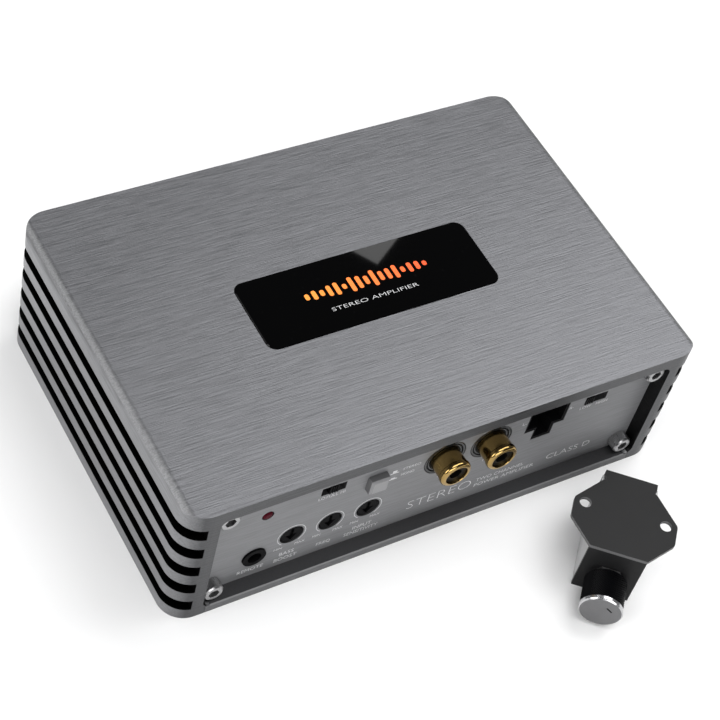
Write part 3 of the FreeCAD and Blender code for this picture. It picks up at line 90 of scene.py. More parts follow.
class Paint:
    def __init__(self, name, family=bpy.data.materials, shader="Principled BSDF", **constants):
        self.owner = family.new(name)
        self.owner.use_nodes = True
        self.tree = self.owner.node_tree
        self.shader = self.tree.nodes[shader]
        for socket, value in constants.items():
            self.shader.inputs[socket.replace("_", " ")].default_value = value

    def add(self, kind, settings=None, sockets=None, output=0):
        node = self.tree.nodes.new(kind)
        for name, value in (settings or {}).items():
            setattr(node, name, value)
        for name, value in (sockets or {}).items():
            self.feed(node.inputs[name], value)
        return Wire(self, node.outputs[output])

    def feed(self, socket, value):
        if isinstance(value, Wire):
            self.tree.links.new(value.socket, socket)
        else:
            socket.default_value = value

    def place(self):
        return self.add("ShaderNodeTexCoord", output="Object")

    def facing(self):
        return self.axes(self.add("ShaderNodeTexCoord", output="Normal"))

    def axes(self, vector):
        split = self.add("ShaderNodeSeparateXYZ", {}, {0: vector}).socket.node
        return [Wire(self, output) for output in split.outputs]

    def noise(self, scale, detail=2.0, roughness=0.5):  # scale per metre along X, Y and Z
        stretched = self.add("ShaderNodeVectorMath", {"operation": "MULTIPLY"},
                             {0: self.place(), 1: scale})
        return self.add("ShaderNodeTexNoise", {},
                        {"Vector": stretched, "Scale": 1.0, "Detail": detail, "Roughness": roughness})

    def spread(self, value, low, high):  # stretches the band low to high over 0 to 1
        return self.add("ShaderNodeMapRange", {}, {"Value": value, "From Min": low, "From Max": high})

    def mix(self, first, second, mask):
        pair = {0: mask}
        for index, colour in ((6, first), (7, second)):
            pair[index] = colour if isinstance(colour, Wire) else (*colour, 1.0)
        return self.add("ShaderNodeMix", {"data_type": "RGBA"}, pair, output=2)

    def shade(self, colour, value):  # a colour made lighter or darker by a value
        grey = self.add("ShaderNodeCombineXYZ", {}, {0: value, 1: value, 2: value})
        first = colour if isinstance(colour, Wire) else Vector(colour)
        return self.add("ShaderNodeVectorMath", {"operation": "MULTIPLY"}, {0: first, 1: grey})

    def finish(self, colour, roughness, height=None, depth=0.0, strength=1.0):
        self.feed(self.shader.inputs["Base Color"], colour)
        self.feed(self.shader.inputs["Roughness"], roughness)
        if height is not None:
            bump = self.add("ShaderNodeBump", {}, {"Height": height, "Distance": depth,
                                                   "Strength": strength})
            self.feed(self.shader.inputs["Normal"], bump)
        return self.owner


brushing = {
    "fine": 3600.0,       # lines per metre across the brushing
    "hairLength": 0.035,  # a line's fineness along the brushing, as a part of that
    "bandLength": 0.014,
    "bandFine": 0.6,
    "bandShare": 0.18,
}


def streaks(paint, along):
    # brush lines: long in one direction, hair thin in the other two
    fine = brushing["fine"]
    hair = [fine] * 3
    hair[along] = fine * brushing["hairLength"]
    band = [fine * brushing["bandFine"]] * 3
    band[along] = fine * brushing["bandLength"]
    share = brushing["bandShare"]
    lines = paint.noise(hair, 2.0, 0.6) * (1 - share) + paint.noise(band, 2.0, 0.6) * share
    return paint.spread(lines, 0.32, 0.68)


housing = {
    # top, sides and ends are one anodised finish in three tones: painted light on the sides and painted
    # shade on the ends, by how each face turns to the lamps
    "top": (0.178, 0.18, 0.189),
    "sides": (0.27, 0.272, 0.282),
    "ends": (0.085, 0.086, 0.09),
    # painted shade: near-black inside the fin grooves
    "grooves": (0.006, 0.006, 0.006),
    # painted shade: dark on the recess's inner walls
    "recess": (0.022, 0.022, 0.023),
    # painted highlight along the rounding of the long edges
    "edge": (0.36, 0.362, 0.37),
    "finRoot": 64.4 * mm,      # the fins stand further out than this
    "grooveFloor": 65.0 * mm,
    "lowestFin": 1.0 * mm,
    "roof": 39.5 * mm,
    "recessHalf": 61.8 * mm,
}


def housingAnodised():
    paint = Paint("housingAnodised", Metallic=1.0)
    faceX, faceZ = [abs(axis) for axis in paint.facing()[::2]]
    x, z = paint.axes(paint.place())[::2]
    outer = abs(x) > housing["finRoot"]
    grooveShadeWalls = outer * (faceZ > 0.5) * (z > housing["lowestFin"]) * (z < housing["roof"])
    grooveShadeFloors = outer * (abs(x) < housing["grooveFloor"]) * (faceX > 0.9)
    edge = paint.spread(faceX, 0.1, 0.3) * paint.spread(faceZ, 0.35, 0.7)  # painted highlight on the rounding of the long edges
    brushX = streaks(paint, 0)
    brushY = streaks(paint, 1)
    brush = brushX + (brushY - brushX) * (faceX > 0.75)
    cloud = paint.noise((14.0, 22.0, 22.0), 2.0)
    # painted light and shade: each facing gets its own tone of the one finish
    colour = paint.mix(housing["ends"], housing["sides"], paint.spread(faceX, 0.35, 0.95))
    colour = paint.mix(colour, housing["top"], paint.spread(faceZ, 0.45, 0.95))
    # painted highlight on the long edges' rounding
    colour = paint.mix(colour, housing["edge"], edge * 0.8)
    # painted shade on the walls and floors of the fin grooves
    colour = paint.mix(colour, housing["grooves"], grooveShadeWalls + grooveShadeFloors)
    # painted shade on the recess's inner walls
    colour = paint.mix(colour, housing["recess"], (abs(x) < housing["recessHalf"]) * (faceX > 0.5))
    shade = 0.72 + brush * 0.42 + cloud * 0.14
    roughness = 0.34 + brush * 0.14 + cloud * 0.05
    return paint.finish(paint.shade(colour, shade), roughness, brush, 0.00005, 0.5)


def panelBrushed():
    paint = Paint("panelBrushed", Metallic=0.35)
    faceY = abs(paint.facing()[1])
    brush = streaks(paint, 0)
    cloud = paint.noise((30.0, 30.0, 60.0), 2.0)
    colour = paint.mix((0.05, 0.05, 0.052), (0.2, 0.202, 0.209), faceY > 0.75)
    shade = 0.74 + brush * 0.36 + cloud * 0.18
    return paint.finish(paint.shade(colour, shade), 0.48 + brush * 0.14, brush, 0.00004, 0.45)


base = {
    "coat": (0.026, 0.026, 0.028),
    "cut": (0.085, 0.086, 0.089),   # upright faces of its edge
    "worn": (0.15, 0.15, 0.155),
    "bevel": (0.17, 0.17, 0.174),   # the bevel of the cut edge is bare metal, painted lighter still as a highlight line
}


def baseCoated():
    paint = Paint("baseCoated", Specular_IOR_Level=0.35)
    faceY, faceZ = [abs(axis) for axis in paint.facing()[1:]]
    grain = paint.noise((2600.0, 2600.0, 2600.0), 3.0)
    wear = paint.spread(paint.noise((420.0, 900.0, 900.0), 4.0), 0.52, 0.75)
    cut = faceY > 0.5
    colour = paint.mix(base["coat"], base["cut"], cut)
    colour = paint.mix(colour, base["worn"], wear * cut * 0.5)
    # painted highlight: a light line along the bevel of the cut edge
    colour = paint.mix(colour, base["bevel"], (faceY > 0.3) * (faceZ > 0.3))
    return paint.finish(paint.shade(colour, 0.8 + grain * 0.4), 0.42 + grain * 0.16, grain, 0.00004, 0.35)


def badgeGloss():
    paint = Paint("badgeGloss", Specular_IOR_Level=0.22)
    haze = paint.noise((60.0, 60.0, 60.0), 3.0)
    dust = paint.spread(paint.noise((900.0, 900.0, 900.0), 2.0), 0.7, 0.78)
    colour = paint.mix((0.0005, 0.0005, 0.0006), (0.004, 0.004, 0.0042), dust * 0.5)
    return paint.finish(colour, 0.012 + haze * 0.015, paint.noise((25.0, 25.0, 25.0)), 0.00002, 0.15)


def metal(name, colour, low, high, scale, depth, tint=0.35):
    # turned, milled or plated metal: roughness and tone follow one grain
    paint = Paint(name, Metallic=1.0)
    grain = paint.noise(scale, 3.0, 0.6)
    cloud = paint.noise((180.0, 180.0, 180.0), 3.0)
    shade = 1.0 - tint * 0.5 + grain * tint * 0.6 + cloud * tint * 0.4
    return paint.finish(paint.shade(colour, shade), low + grain * (high - low), grain, depth, 0.4)


def plastic(name, colour, low, high, grainSize=0.25, depth=0.02, **constants):
    # moulded plastic: a fine spark-eroded grain with faint flow marks; sizes in millimetres
    paint = Paint(name, **constants)
    per = 1.0 / (grainSize * mm)
    grain = paint.noise((per, per, per), 2.0)
    flow = paint.noise((130.0, 90.0, 160.0), 3.0)
    shade = 0.75 + grain * 0.25 + flow * 0.3
    return paint.finish(paint.shade(colour, shade), low + grain * (high - low), grain, depth * mm, 0.4)


def boardGreen():
    paint = Paint("boardGreen", Coat_Weight=0.3)
    traces = paint.add("ShaderNodeTexBrick", {"offset": 0.35},
                       {"Vector": paint.place(), "Color1": (1, 1, 1, 1), "Color2": (1, 1, 1, 1),
                        "Mortar": (0, 0, 0, 1), "Scale": 420.0, "Mortar Size": 0.06}, output=1)
    weave = paint.noise((1400.0, 1400.0, 1400.0), 2.0)
    colour = paint.mix((0.012, 0.085, 0.035), (0.035, 0.19, 0.08), traces)
    return paint.finish(paint.shade(colour, 0.8 + weave * 0.4), 0.3 + weave * 0.2, traces, 0.00004, 0.5)


def copperWire():
    paint = Paint("copperWire", Metallic=1.0, Coat_Weight=0.6)
    tone = paint.noise((300.0, 300.0, 300.0), 3.0)
    colour = paint.mix((0.42, 0.13, 0.04), (0.75, 0.33, 0.12), tone)
    return paint.finish(colour, 0.2 + tone * 0.15, tone, 0.00005, 0.3)


def canSleeve():
    paint = Paint("canSleeve", Coat_Weight=0.4)
    band = paint.spread(paint.noise((90.0, 90.0, 3.0), 1.0), 0.56, 0.6)
    colour = paint.mix((0.01, 0.014, 0.03), (0.16, 0.17, 0.2), band)
    return paint.finish(colour, 0.22 + band * 0.1, paint.noise((700.0, 700.0, 700.0)), 0.00003, 0.2)


def gradedGlowingOrange():
    # badge mark: warm yellow-orange at its left end to red-orange at its right end, glowing faintly as
    # painted light though it is no lamp
    paint = Paint("markOrangeGlowing", Coat_Weight=0.5, Emission_Strength=0.25)
    low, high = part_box("badge")
    x = paint.axes(paint.place())[0]
    along = paint.spread(x, low.x * 0.53, high.x * 0.57)
    fleck = paint.noise((1500.0, 1500.0, 1500.0), 2.0)
    colour = paint.mix((1.0, 0.31, 0.035), (0.9, 0.075, 0.012), along)
    colour = paint.shade(colour, 0.85 + fleck * 0.3)
    # painted glow: the mark's colour also feeds its emission
    paint.feed(paint.shader.inputs["Emission Color"], colour)
    return paint.finish(colour, 0.3 + fleck * 0.1, fleck, 0.00001, 0.2)


def spunCap():
    # rings turned about the knob's own axis, so the pattern turns with the knob
    paint = Paint("knobSilver", Metallic=0.9)
    turn = joints["level_turn"]
    centre = Vector(turn["pos_m"])
    axis = Vector(turn["axis"])
    offset = paint.add("ShaderNodeVectorMath", {"operation": "SUBTRACT"}, {0: paint.place(), 1: centre})
    along = paint.add("ShaderNodeVectorMath", {"operation": "DOT_PRODUCT"}, {0: offset, 1: axis}, "Value")
    reach = paint.add("ShaderNodeVectorMath", {"operation": "LENGTH"}, {0: offset}, "Value")
    radius = (abs(reach * reach - along * along)) ** 0.5
    rings = paint.add("ShaderNodeTexNoise", {"noise_dimensions": "1D"},
                      {"W": radius * 5200.0, "Scale": 1.0, "Detail": 2.0})
    cloud = paint.noise((420.0, 420.0, 420.0), 3.0)
    bevel = radius > 5.08 * mm
    colour = paint.mix((0.17, 0.17, 0.174), (0.5, 0.5, 0.51), bevel)
    colour = paint.shade(colour, 0.82 + rings * 0.2 + cloud * 0.16)
    return paint.finish(colour, 0.42 - bevel * 0.28 + rings * 0.12, rings, 0.00003, 0.45)


bracket = {
    # one black paint: the top painted lighter as painted light, the upright sides darker as painted shade
    "side": (0.006, 0.006, 0.0065),
    "top": (0.0115, 0.0115, 0.012),
    "rim": (0.1, 0.1, 0.102),
    "sheet": 0.95 * mm,    # thickness of the cut edge
}


def bracketBlack():
    paint = Paint("bracketBlack", Specular_IOR_Level=0.24)
    grain = paint.noise((3200.0, 3200.0, 3200.0), 3.0)
    cloud = paint.noise((160.0, 160.0, 160.0), 2.0)
    faceZ = abs(paint.facing()[2])
    z = paint.axes(paint.place())[2]
    rim = (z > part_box("remote_bracket")[1].z - bracket["sheet"]) * (faceZ < 0.5)
    # painted light: the top lighter than the upright faces
    colour = paint.mix(bracket["side"], bracket["top"], faceZ > 0.5)
    colour = paint.mix(colour, bracket["rim"], rim)
    colour = paint.shade(colour, 0.8 + grain * 0.25 + cloud * 0.2)
    return paint.finish(colour, 0.5 + grain * 0.14, grain, 0.00003, 0.35)


def remoteGrey():
    paint = Paint("remoteGrey", Metallic=0.25)
    brush = paint.noise((400.0, 400.0, 5200.0), 3.0, 0.6)
    cloud = paint.noise((90.0, 90.0, 60.0), 2.0)
    shade = 0.65 + brush * 0.4 + cloud * 0.3
    return paint.finish(paint.shade((0.48, 0.48, 0.485), shade), 0.4 + brush * 0.18, brush, 0.00003, 0.4)


def buttonGrey():
    paint = Paint("buttonGrey", Specular_IOR_Level=0.35)
    faceY = abs(paint.facing()[1])
    grain = paint.noise((4000.0, 4000.0, 4000.0), 2.0)
    colour = paint.mix((0.14, 0.14, 0.144), (0.25, 0.25, 0.256), paint.spread(faceY, 0.3, 0.8))
    return paint.finish(paint.shade(colour, 0.85 + grain * 0.3), 0.4 + grain * 0.15, grain, 0.00001, 0.3)


def paleFloor():
    paint = Paint("paleFloor")
    tone = paint.noise((3.0, 3.0, 3.0), 3.0)
    return paint.finish(paint.shade((0.9, 0.9, 0.9), 0.985 + tone * 0.02), 0.75 + tone * 0.05)


finishes = {
    "housing_anodised": housingAnodised(),
    "base_coated": baseCoated(),
    "panel_brushed": panelBrushed(),
    "badge_gloss": badgeGloss(),
    "screw_steel": metal("screwSteel", (0.36, 0.36, 0.365), 0.2, 0.4, (2400.0, 500.0, 2400.0), 0.00003),
    "screw_dark": metal("screwDark", (0.07, 0.07, 0.075), 0.3, 0.5, (2400.0, 2400.0, 700.0), 0.00003),
    "board_green": boardGreen(),
    "turned_brass": metal("turnedBrass", (0.6, 0.42, 0.16), 0.2, 0.4, (700.0, 3000.0, 3000.0), 0.00003),
    "gold_plate": metal("goldPlate", (0.37, 0.25, 0.09), 0.12, 0.2, (600.0, 2200.0, 600.0), 0.000004, 0.3),
    "plastic_black": plastic("plasticBlack", (0.004, 0.004, 0.0045), 0.36, 0.5, Specular_IOR_Level=0.03),
    "plastic_grey": plastic("plasticGrey", (0.42, 0.42, 0.425), 0.35, 0.5),
    "lamp_red": plastic("lampRed", (0.055, 0.0015, 0.007), 0.25, 0.35, 0.5, 0.01, Specular_IOR_Level=0.04),
    "tinned_pin": metal("tinnedPin", (0.6, 0.6, 0.58), 0.25, 0.4, (900.0, 900.0, 900.0), 0.00002),
    "copper_wire": copperWire(),
    "ferrite": plastic("ferrite", (0.035, 0.034, 0.036), 0.55, 0.75, 0.3, 0.05),
    "can_sleeve": canSleeve(),
    "film_case": plastic("filmCase", (0.4, 0.03, 0.025), 0.2, 0.35, 0.6, 0.02, Coat_Weight=0.3),
    "thermal_sheet": plastic("thermalSheet", (0.45, 0.5, 0.55), 0.6, 0.8, 0.4, 0.03),
    "bar_aluminium": metal("barAluminium", (0.55, 0.55, 0.56), 0.25, 0.45, (900.0, 60.0, 3000.0), 0.00003),
    "fuse_blue": plastic("fuseBlue", (0.02, 0.1, 0.42), 0.12, 0.22, 0.6, 0.01, Coat_Weight=0.5,
                         Transmission_Weight=0.35),
    "bracket_black": bracketBlack(),
    "remote_grey": remoteGrey(),
    "knob_black": plastic("knobBlack", (0.0015, 0.0015, 0.002), 0.42, 0.55, 0.2, 0.01,
                          Specular_IOR_Level=0.05),
    "knob_silver": spunCap(),
    "mark_orange": gradedGlowingOrange(),
    "print_white": plastic("printWhite", (0.62, 0.62, 0.63), 0.4, 0.55, 0.12, 0.004),
    "mark_black": plastic("markBlack", (0.003, 0.003, 0.003), 0.4, 0.5, 0.2, 0.01,
                          Specular_IOR_Level=0.1),
    "button_grey": buttonGrey(),
    "collar_black": plastic("collarBlack", (0.006, 0.007, 0.0075), 0.2, 0.3, 0.3, 0.01,
                            Specular_IOR_Level=0.4),
}
ownFinish = {"mode_button": "button_grey", "phono_insulators": "mark_black"}  # finer than their slot's
for part in record["subparts"]:
    for materialSlot in frame["nodes"][part["node"]].material_slots:
        materialSlot.material = finishes[ownFinish.get(part["node"], part["material_slot"])]
print("materials made:", len(finishes))


def addPiece(name, shape, finish, body, smooth=None):
    mesh = bpy.data.meshes.new(name)
    shape.to_mesh(mesh)
    shape.free()
    piece = bpy.data.objects.new(name, mesh)
    bpy.context.collection.objects.link(piece)
    mesh.materials.append(finishes[finish])
    if smooth is not None:
        mesh.shade_smooth()
        mesh.set_sharp_from_angle(angle=math.radians(smooth))
    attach(piece, body)
    return piece


def lathe(shape, profile, segments, closed=False):
    # turns a profile of (radius, height) points about Z and returns the new points
    corners = [shape.verts.new((radius, 0, height)) for radius, height in profile]
    pairs = list(zip(corners, corners[1:]))
    if closed:
        pairs.append((corners[-1], corners[0]))
    edges = [shape.edges.new(pair) for pair in pairs]
    before = set(shape.verts) - set(corners)
    bmesh.ops.spin(shape, geom=corners + edges, cent=(0, 0, 0), axis=(0, 0, 1),
                   angle=2 * math.pi, steps=segments, use_merge=True)
    made = [vert for vert in shape.verts if vert not in before]
    bmesh.ops.remove_doubles(shape, verts=made, dist=1e-7)
    made = [vert for vert in shape.verts if vert not in before]
    faces = list({face for vert in made for face in vert.link_faces})
    bmesh.ops.recalc_face_normals(shape, faces=faces)
    return made


def axisPlace(point, axis):
    # local Z along the axis, local Y upwards
    return Matrix.Translation(point) @ Vector(axis).to_track_quat("Z", "Y").to_matrix().to_4x4()


def roundedBar(shape, centre, size, radius):
    # a flat bar in X and Y with rounded corners
    made = bmesh.ops.create_cube(shape, size=1.0)["verts"]
    bmesh.ops.scale(shape, verts=made, vec=size)
    bmesh.ops.translate(shape, verts=made, vec=centre)
    upright = [edge for edge in {edge for vert in made for edge in vert.link_edges}
               if abs(edge.verts[0].co.z - edge.verts[1].co.z) > size[2] * 0.5]
    bmesh.ops.bevel(shape, geom=upright, offset=radius, affect="EDGES", segments=4,
                    profile=0.5, material=-1)


def lettering(shape, words, centre, capHeight, width=None, thick=0.02 * mm, place=Matrix(), thin=0.016):
    # flat words, capHeight tall, centred at a point of the plane that place gives
    curve = bpy.data.curves.new("words", "FONT")
    curve.body = words
    curve.extrude = 0.01
    curve.offset = -thin
    curve.resolution_u = 3
    holder = bpy.data.objects.new("words", curve)
    mesh = bpy.data.meshes.new_from_object(holder)
    across = [vert.co.x for vert in mesh.vertices]
    upward = [vert.co.y for vert in mesh.vertices]
    tall = capHeight / (max(upward) - min(upward))
    wide = width / (max(across) - min(across)) if width else tall
    middle = Vector(((max(across) + min(across)) / 2, (max(upward) + min(upward)) / 2, 0))
    flat = Matrix.Diagonal((wide, tall, thick / 0.02, 1)) @ Matrix.Translation(-middle)
    mesh.transform(place @ Matrix.Translation((centre[0], centre[1], 0)) @ flat)
    shape.from_mesh(mesh)
    bpy.data.objects.remove(holder)
    bpy.data.curves.remove(curve)
    bpy.data.meshes.remove(mesh)


badgeArt = {
    "bars": 17,
    "pitch": 2.05 * mm,
    "barWidth": 1.15 * mm,
    "lowest": 1.3 * mm,
    "tallest": 4.9 * mm,
    "centre": (0.65 * mm, 1.0 * mm),
    "thick": 0.05 * mm,
    "words": "STEREO AMPLIFIER",
    "wordsCentre": (0.2 * mm, -4.45 * mm),
    "wordsHeight": 1.05 * mm,
    "wordsWidth": 24.0 * mm,
    "wordsThick": 0.03 * mm,
}
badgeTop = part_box("badge")[1].z


def buildBadge():
    mark = bmesh.new()
    half = (badgeArt["bars"] - 1) / 2
    for index in range(badgeArt["bars"]):
        swell = math.cos((index - half) / half * math.pi * 0.42)
        beat = abs(math.sin(index * 1.15 + 0.6))
        tall = badgeArt["lowest"] + (badgeArt["tallest"] - badgeArt["lowest"]) * swell * beat
        x = badgeArt["centre"][0] + (index - half) * badgeArt["pitch"]
        roundedBar(mark, (x, badgeArt["centre"][1], badgeTop + badgeArt["thick"] / 2),
                   (badgeArt["barWidth"], tall, badgeArt["thick"]), badgeArt["barWidth"] * 0.42)
    addPiece("badgeMark", mark, "mark_orange", "amplifier")
    words = bmesh.new()
    lettering(words, badgeArt["words"], badgeArt["wordsCentre"], badgeArt["wordsHeight"],
              badgeArt["wordsWidth"], badgeArt["wordsThick"],
              Matrix.Translation((0, 0, badgeTop + badgeArt["wordsThick"] / 2)))
    addPiece("badgeWords", words, "print_white", "amplifier")


buildBadge()
print("badge made")

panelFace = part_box("front_panel")[0].y
dialX = [joints[name]["pos_m"][0] for name in ("bass_turn", "frequency_turn", "gain_turn")]
dialZ = joints["bass_turn"]["pos_m"][2]
panelArt = {
    "arcRadius": 3.62 * mm,
    "arcWidth": 0.13 * mm,
    "arcSweep": 285.0,
    "thick": 0.02 * mm,
    "thin": 0.014,          # how far the letters' outlines are drawn in
    "bigThin": 0.029,
    "bigFrom": 2.5,         # words taller than this, in millimetres, are drawn in further
    "endWords": (("MIN", -2.9 * mm), ("MAX", 2.9 * mm)),
    "endHeight": 0.85 * mm,
    "endZ": 10.0 * mm,
    "symbolX": -12.9 * mm,  # push switch: a step up for out, a low step for in
    "symbols": ((26.7 * mm, 1.0 * mm), (24.3 * mm, 0.5 * mm)),
}
panelWords = (  # words, x and z of their middle in millimetres, height, width if it is set
    ("REMOTE", -47.7, 5.3, 1.25, None),
    ("BASS", -38.3, 7.1, 1.3, None), ("BOOST", -38.3, 5.0, 1.3, None),
    ("FREQ", -28.1, 5.6, 1.35, None),
    ("INPUT", -17.7, 7.3, 1.25, None), ("SENSITIVITY", -17.7, 5.3, 1.25, 9.4),
    ("LO", -32.4, 26.1, 1.0, None), ("FULL", -29.6, 26.1, 1.0, None), ("HI", -26.8, 26.1, 1.0, None),
    ("STEREO", -8.2, 26.8, 0.9, 4.9), ("MONO", -8.9, 24.5, 0.9, 3.6),
    ("STEREO", 3.9, 8.7, 3.1, 18.4),
    ("TWO CHANNEL", 21.6, 9.1, 1.25, 14.2), ("POWER AMPLIFIER", 23.4, 6.9, 1.25, 17.8),
    ("CLASS D", 42.6, 8.1, 2.0, 13.4),
    ("L", 1.3, 18.0, 1.1, None), ("R", 14.4, 18.0, 1.1, None),
    ("L+", 23.4, 31.6, 1.0, None), ("L-", 23.4, 28.0, 1.0, None),
    ("R+", 37.3, 31.6, 1.0, None), ("R-", 37.3, 28.0, 1.0, None),
    ("LOW", 42.0, 26.1, 1.0, None), ("HIGH", 46.9, 26.1, 1.0, None),
)


def buildPanelPrint():
    upright = Matrix.Translation((0, panelFace - panelArt["thick"] / 2, 0)) @ Matrix.Rotation(
        math.radians(90), 4, "X")
    words = bmesh.new()
    for text, x, z, tall, wide in panelWords:
        lettering(words, text, (x * mm, z * mm), tall * mm, wide * mm if wide else None,
                  panelArt["thick"], upright,
                  panelArt["bigThin"] if tall > panelArt["bigFrom"] else panelArt["thin"])
    for x in dialX:
        for text, aside in panelArt["endWords"]:
            lettering(words, text, (x + aside, panelArt["endZ"]), panelArt["endHeight"], None,
                      panelArt["thick"], upright)
    addPiece("panelWords", words, "print_white", "amplifier")

    arcs = bmesh.new()
    done = set()
    sweep = math.radians(panelArt["arcSweep"])
    start = Matrix.Rotation((math.pi - sweep) / 2, 4, "Z")
    inner = panelArt["arcRadius"]
    outer = inner + panelArt["arcWidth"]
    for x in dialX:
        section = [arcs.verts.new(start @ Vector((radius, 0, height)))
                   for radius, height in ((inner, 0), (outer, 0), (outer, panelArt["thick"]),
                                          (inner, panelArt["thick"]))]
        bmesh.ops.spin(arcs, geom=[arcs.faces.new(section)], cent=(0, 0, 0), axis=(0, 0, 1),
                       angle=sweep, steps=56)
        place = Matrix.Translation((x, panelFace, dialZ)) @ Matrix.Rotation(math.radians(90), 4, "X")
        bmesh.ops.transform(arcs, matrix=place, verts=[vert for vert in arcs.verts if vert not in done])
        done.update(arcs.verts)
    bmesh.ops.recalc_face_normals(arcs, faces=arcs.faces)
    addPiece("dialArcs", arcs, "print_white", "amplifier")

    symbols = bmesh.new()
    for z, tall in panelArt["symbols"]:
        roundedBar(symbols, (panelArt["symbolX"], z - 0.5 * mm, 0),
                   (2.4 * mm, 0.3 * mm, panelArt["thick"]), 0.05 * mm)
        roundedBar(symbols, (panelArt["symbolX"], z - 0.45 * mm + tall / 2, 0),
                   (1.2 * mm, tall, panelArt["thick"]), 0.08 * mm)
    bmesh.ops.transform(symbols, matrix=upright, verts=symbols.verts)
    addPiece("buttonSymbols", symbols, "print_white", "amplifier")


buildPanelPrint()
print("panel print made")

phono = {
    "mounts": ("phono_left", "phono_right"),
    "segments": 64,
    "neck": 3.93 * mm,
    "bead": 4.15 * mm,
    "root": 3.6 * mm,
    "bore": 2.95 * mm,
    "edge": 0.92 * mm,      # rounding of the front shoulder
    "beadLength": 1.5 * mm,
    "rings": ((5.0 * mm, 5.6 * mm, 0.22 * mm), (4.3 * mm, 4.65 * mm, 0.12 * mm)),  # inner, outer, rise
}


def buildPhonoBarrels():
    low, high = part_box("phono_barrels")
    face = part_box("phono_housing")[0].y
    rim = high.y - low.y
    shoulder = high.y - face
    shape = bmesh.new()
    done = set()
    arc = [(phono["bead"] - phono["edge"] + phono["edge"] * math.cos(turn),
            rim - phono["edge"] + phono["edge"] * math.sin(turn))
           for turn in [math.radians(angle) for angle in range(0, 91, 15)]]
    profile = [(phono["bore"], 0), (phono["root"], 0), (phono["root"], shoulder), (phono["neck"], shoulder),
               (phono["neck"], rim - phono["beadLength"] - 0.25 * mm),
               (phono["bead"], rim - phono["beadLength"])] + arc + [
               (phono["bore"] + 0.08 * mm, rim), (phono["bore"], rim - 0.1 * mm)]
    for name in phono["mounts"]:
        mount = next(item for item in record["mounts"] if item["name"] == name)
        centre = Vector((mount["pos_m"][0], high.y, mount["pos_m"][2]))
        made = [vert for vert in lathe(shape, profile, phono["segments"], closed=True) if vert not in done]
        bmesh.ops.transform(shape, matrix=axisPlace(centre, mount["axis"]), verts=made)
        done.update(shape.verts)
    piece = addPiece("phonoBarrels", shape, "gold_plate", "amplifier", smooth=35)
    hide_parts("phono_barrels")

    rings = bmesh.new()  # raised rings on the collars' faces
    done = set()
    for name in phono["mounts"]:
        mount = next(item for item in record["mounts"] if item["name"] == name)
        for inner, outer, rise in phono["rings"]:
            ridge = [(inner, -0.05 * mm), (outer, -0.05 * mm), (outer, rise * 0.6), (outer - 0.1 * mm, rise),
                     (inner + 0.1 * mm, rise), (inner, rise * 0.6)]
            made = [vert for vert in lathe(rings, ridge, phono["segments"], closed=True) if vert not in done]
            centre = Vector((mount["pos_m"][0], face, mount["pos_m"][2]))
            bmesh.ops.transform(rings, matrix=axisPlace(centre, mount["axis"]), verts=made)
            done.update(rings.verts)
    addPiece("phonoCollarRings", rings, "collar_black", "amplifier", smooth=35)


buildPhonoBarrels()
print("phono barrels made")

screwHead = {"radius": 2.5 * mm, "tooth": 0.11 * mm, "teeth": 44, "low": 0.25 * mm, "high": 2.55 * mm}


def buildScrewKnurls():
    for node, turn in (("front_screws", -1), ("rear_screws", 1)):
        low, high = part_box(node)
        seat = panelFace if turn < 0 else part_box("rear_panel")[1].y
        shape = bmesh.new()
        done = set()
        radius = screwHead["radius"]
        profile = [(radius - 0.2 * mm, screwHead["low"]), (radius + 0.01 * mm, screwHead["low"]),
                   (radius + 0.01 * mm, screwHead["high"]), (radius - 0.2 * mm, screwHead["high"])]
        for x in (low.x + radius, high.x - radius):
            for z in (low.z + radius, high.z - radius):
                made = [vert for vert in lathe(shape, profile, screwHead["teeth"] * 2, closed=True)
                        if vert not in done]
                for vert in made:
                    angle = math.atan2(vert.co.y, vert.co.x) / math.pi * screwHead["teeth"]
                    if vert.co.xy.length > radius and round(angle) % 2:
                        vert.co.xy *= 1 + screwHead["tooth"] / radius
                bmesh.ops.transform(shape, matrix=axisPlace((x, seat, z), (0, turn, 0)), verts=made)
                done.update(shape.verts)
        addPiece(node.replace("_screws", "ScrewKnurls"), shape, "screw_steel", "amplifier")


buildScrewKnurls()
print("screw knurls made")

knob = {"segments": 112, "rows": 26, "depth": 0.17 * mm, "radius": 5.28 * mm, "bevel": 0.45 * mm,
        "rear": 12.8 * mm, "front": 21.0 * mm, "bore": 3.0 * mm, "mark": (1.9 * mm, 0.42 * mm),
        "markAt": (1.75 * mm, 1.6 * mm), "markTurn": -38.0, "face": 22.1 * mm}
levelPlace = axisPlace(joints["level_turn"]["pos_m"], joints["level_turn"]["axis"])


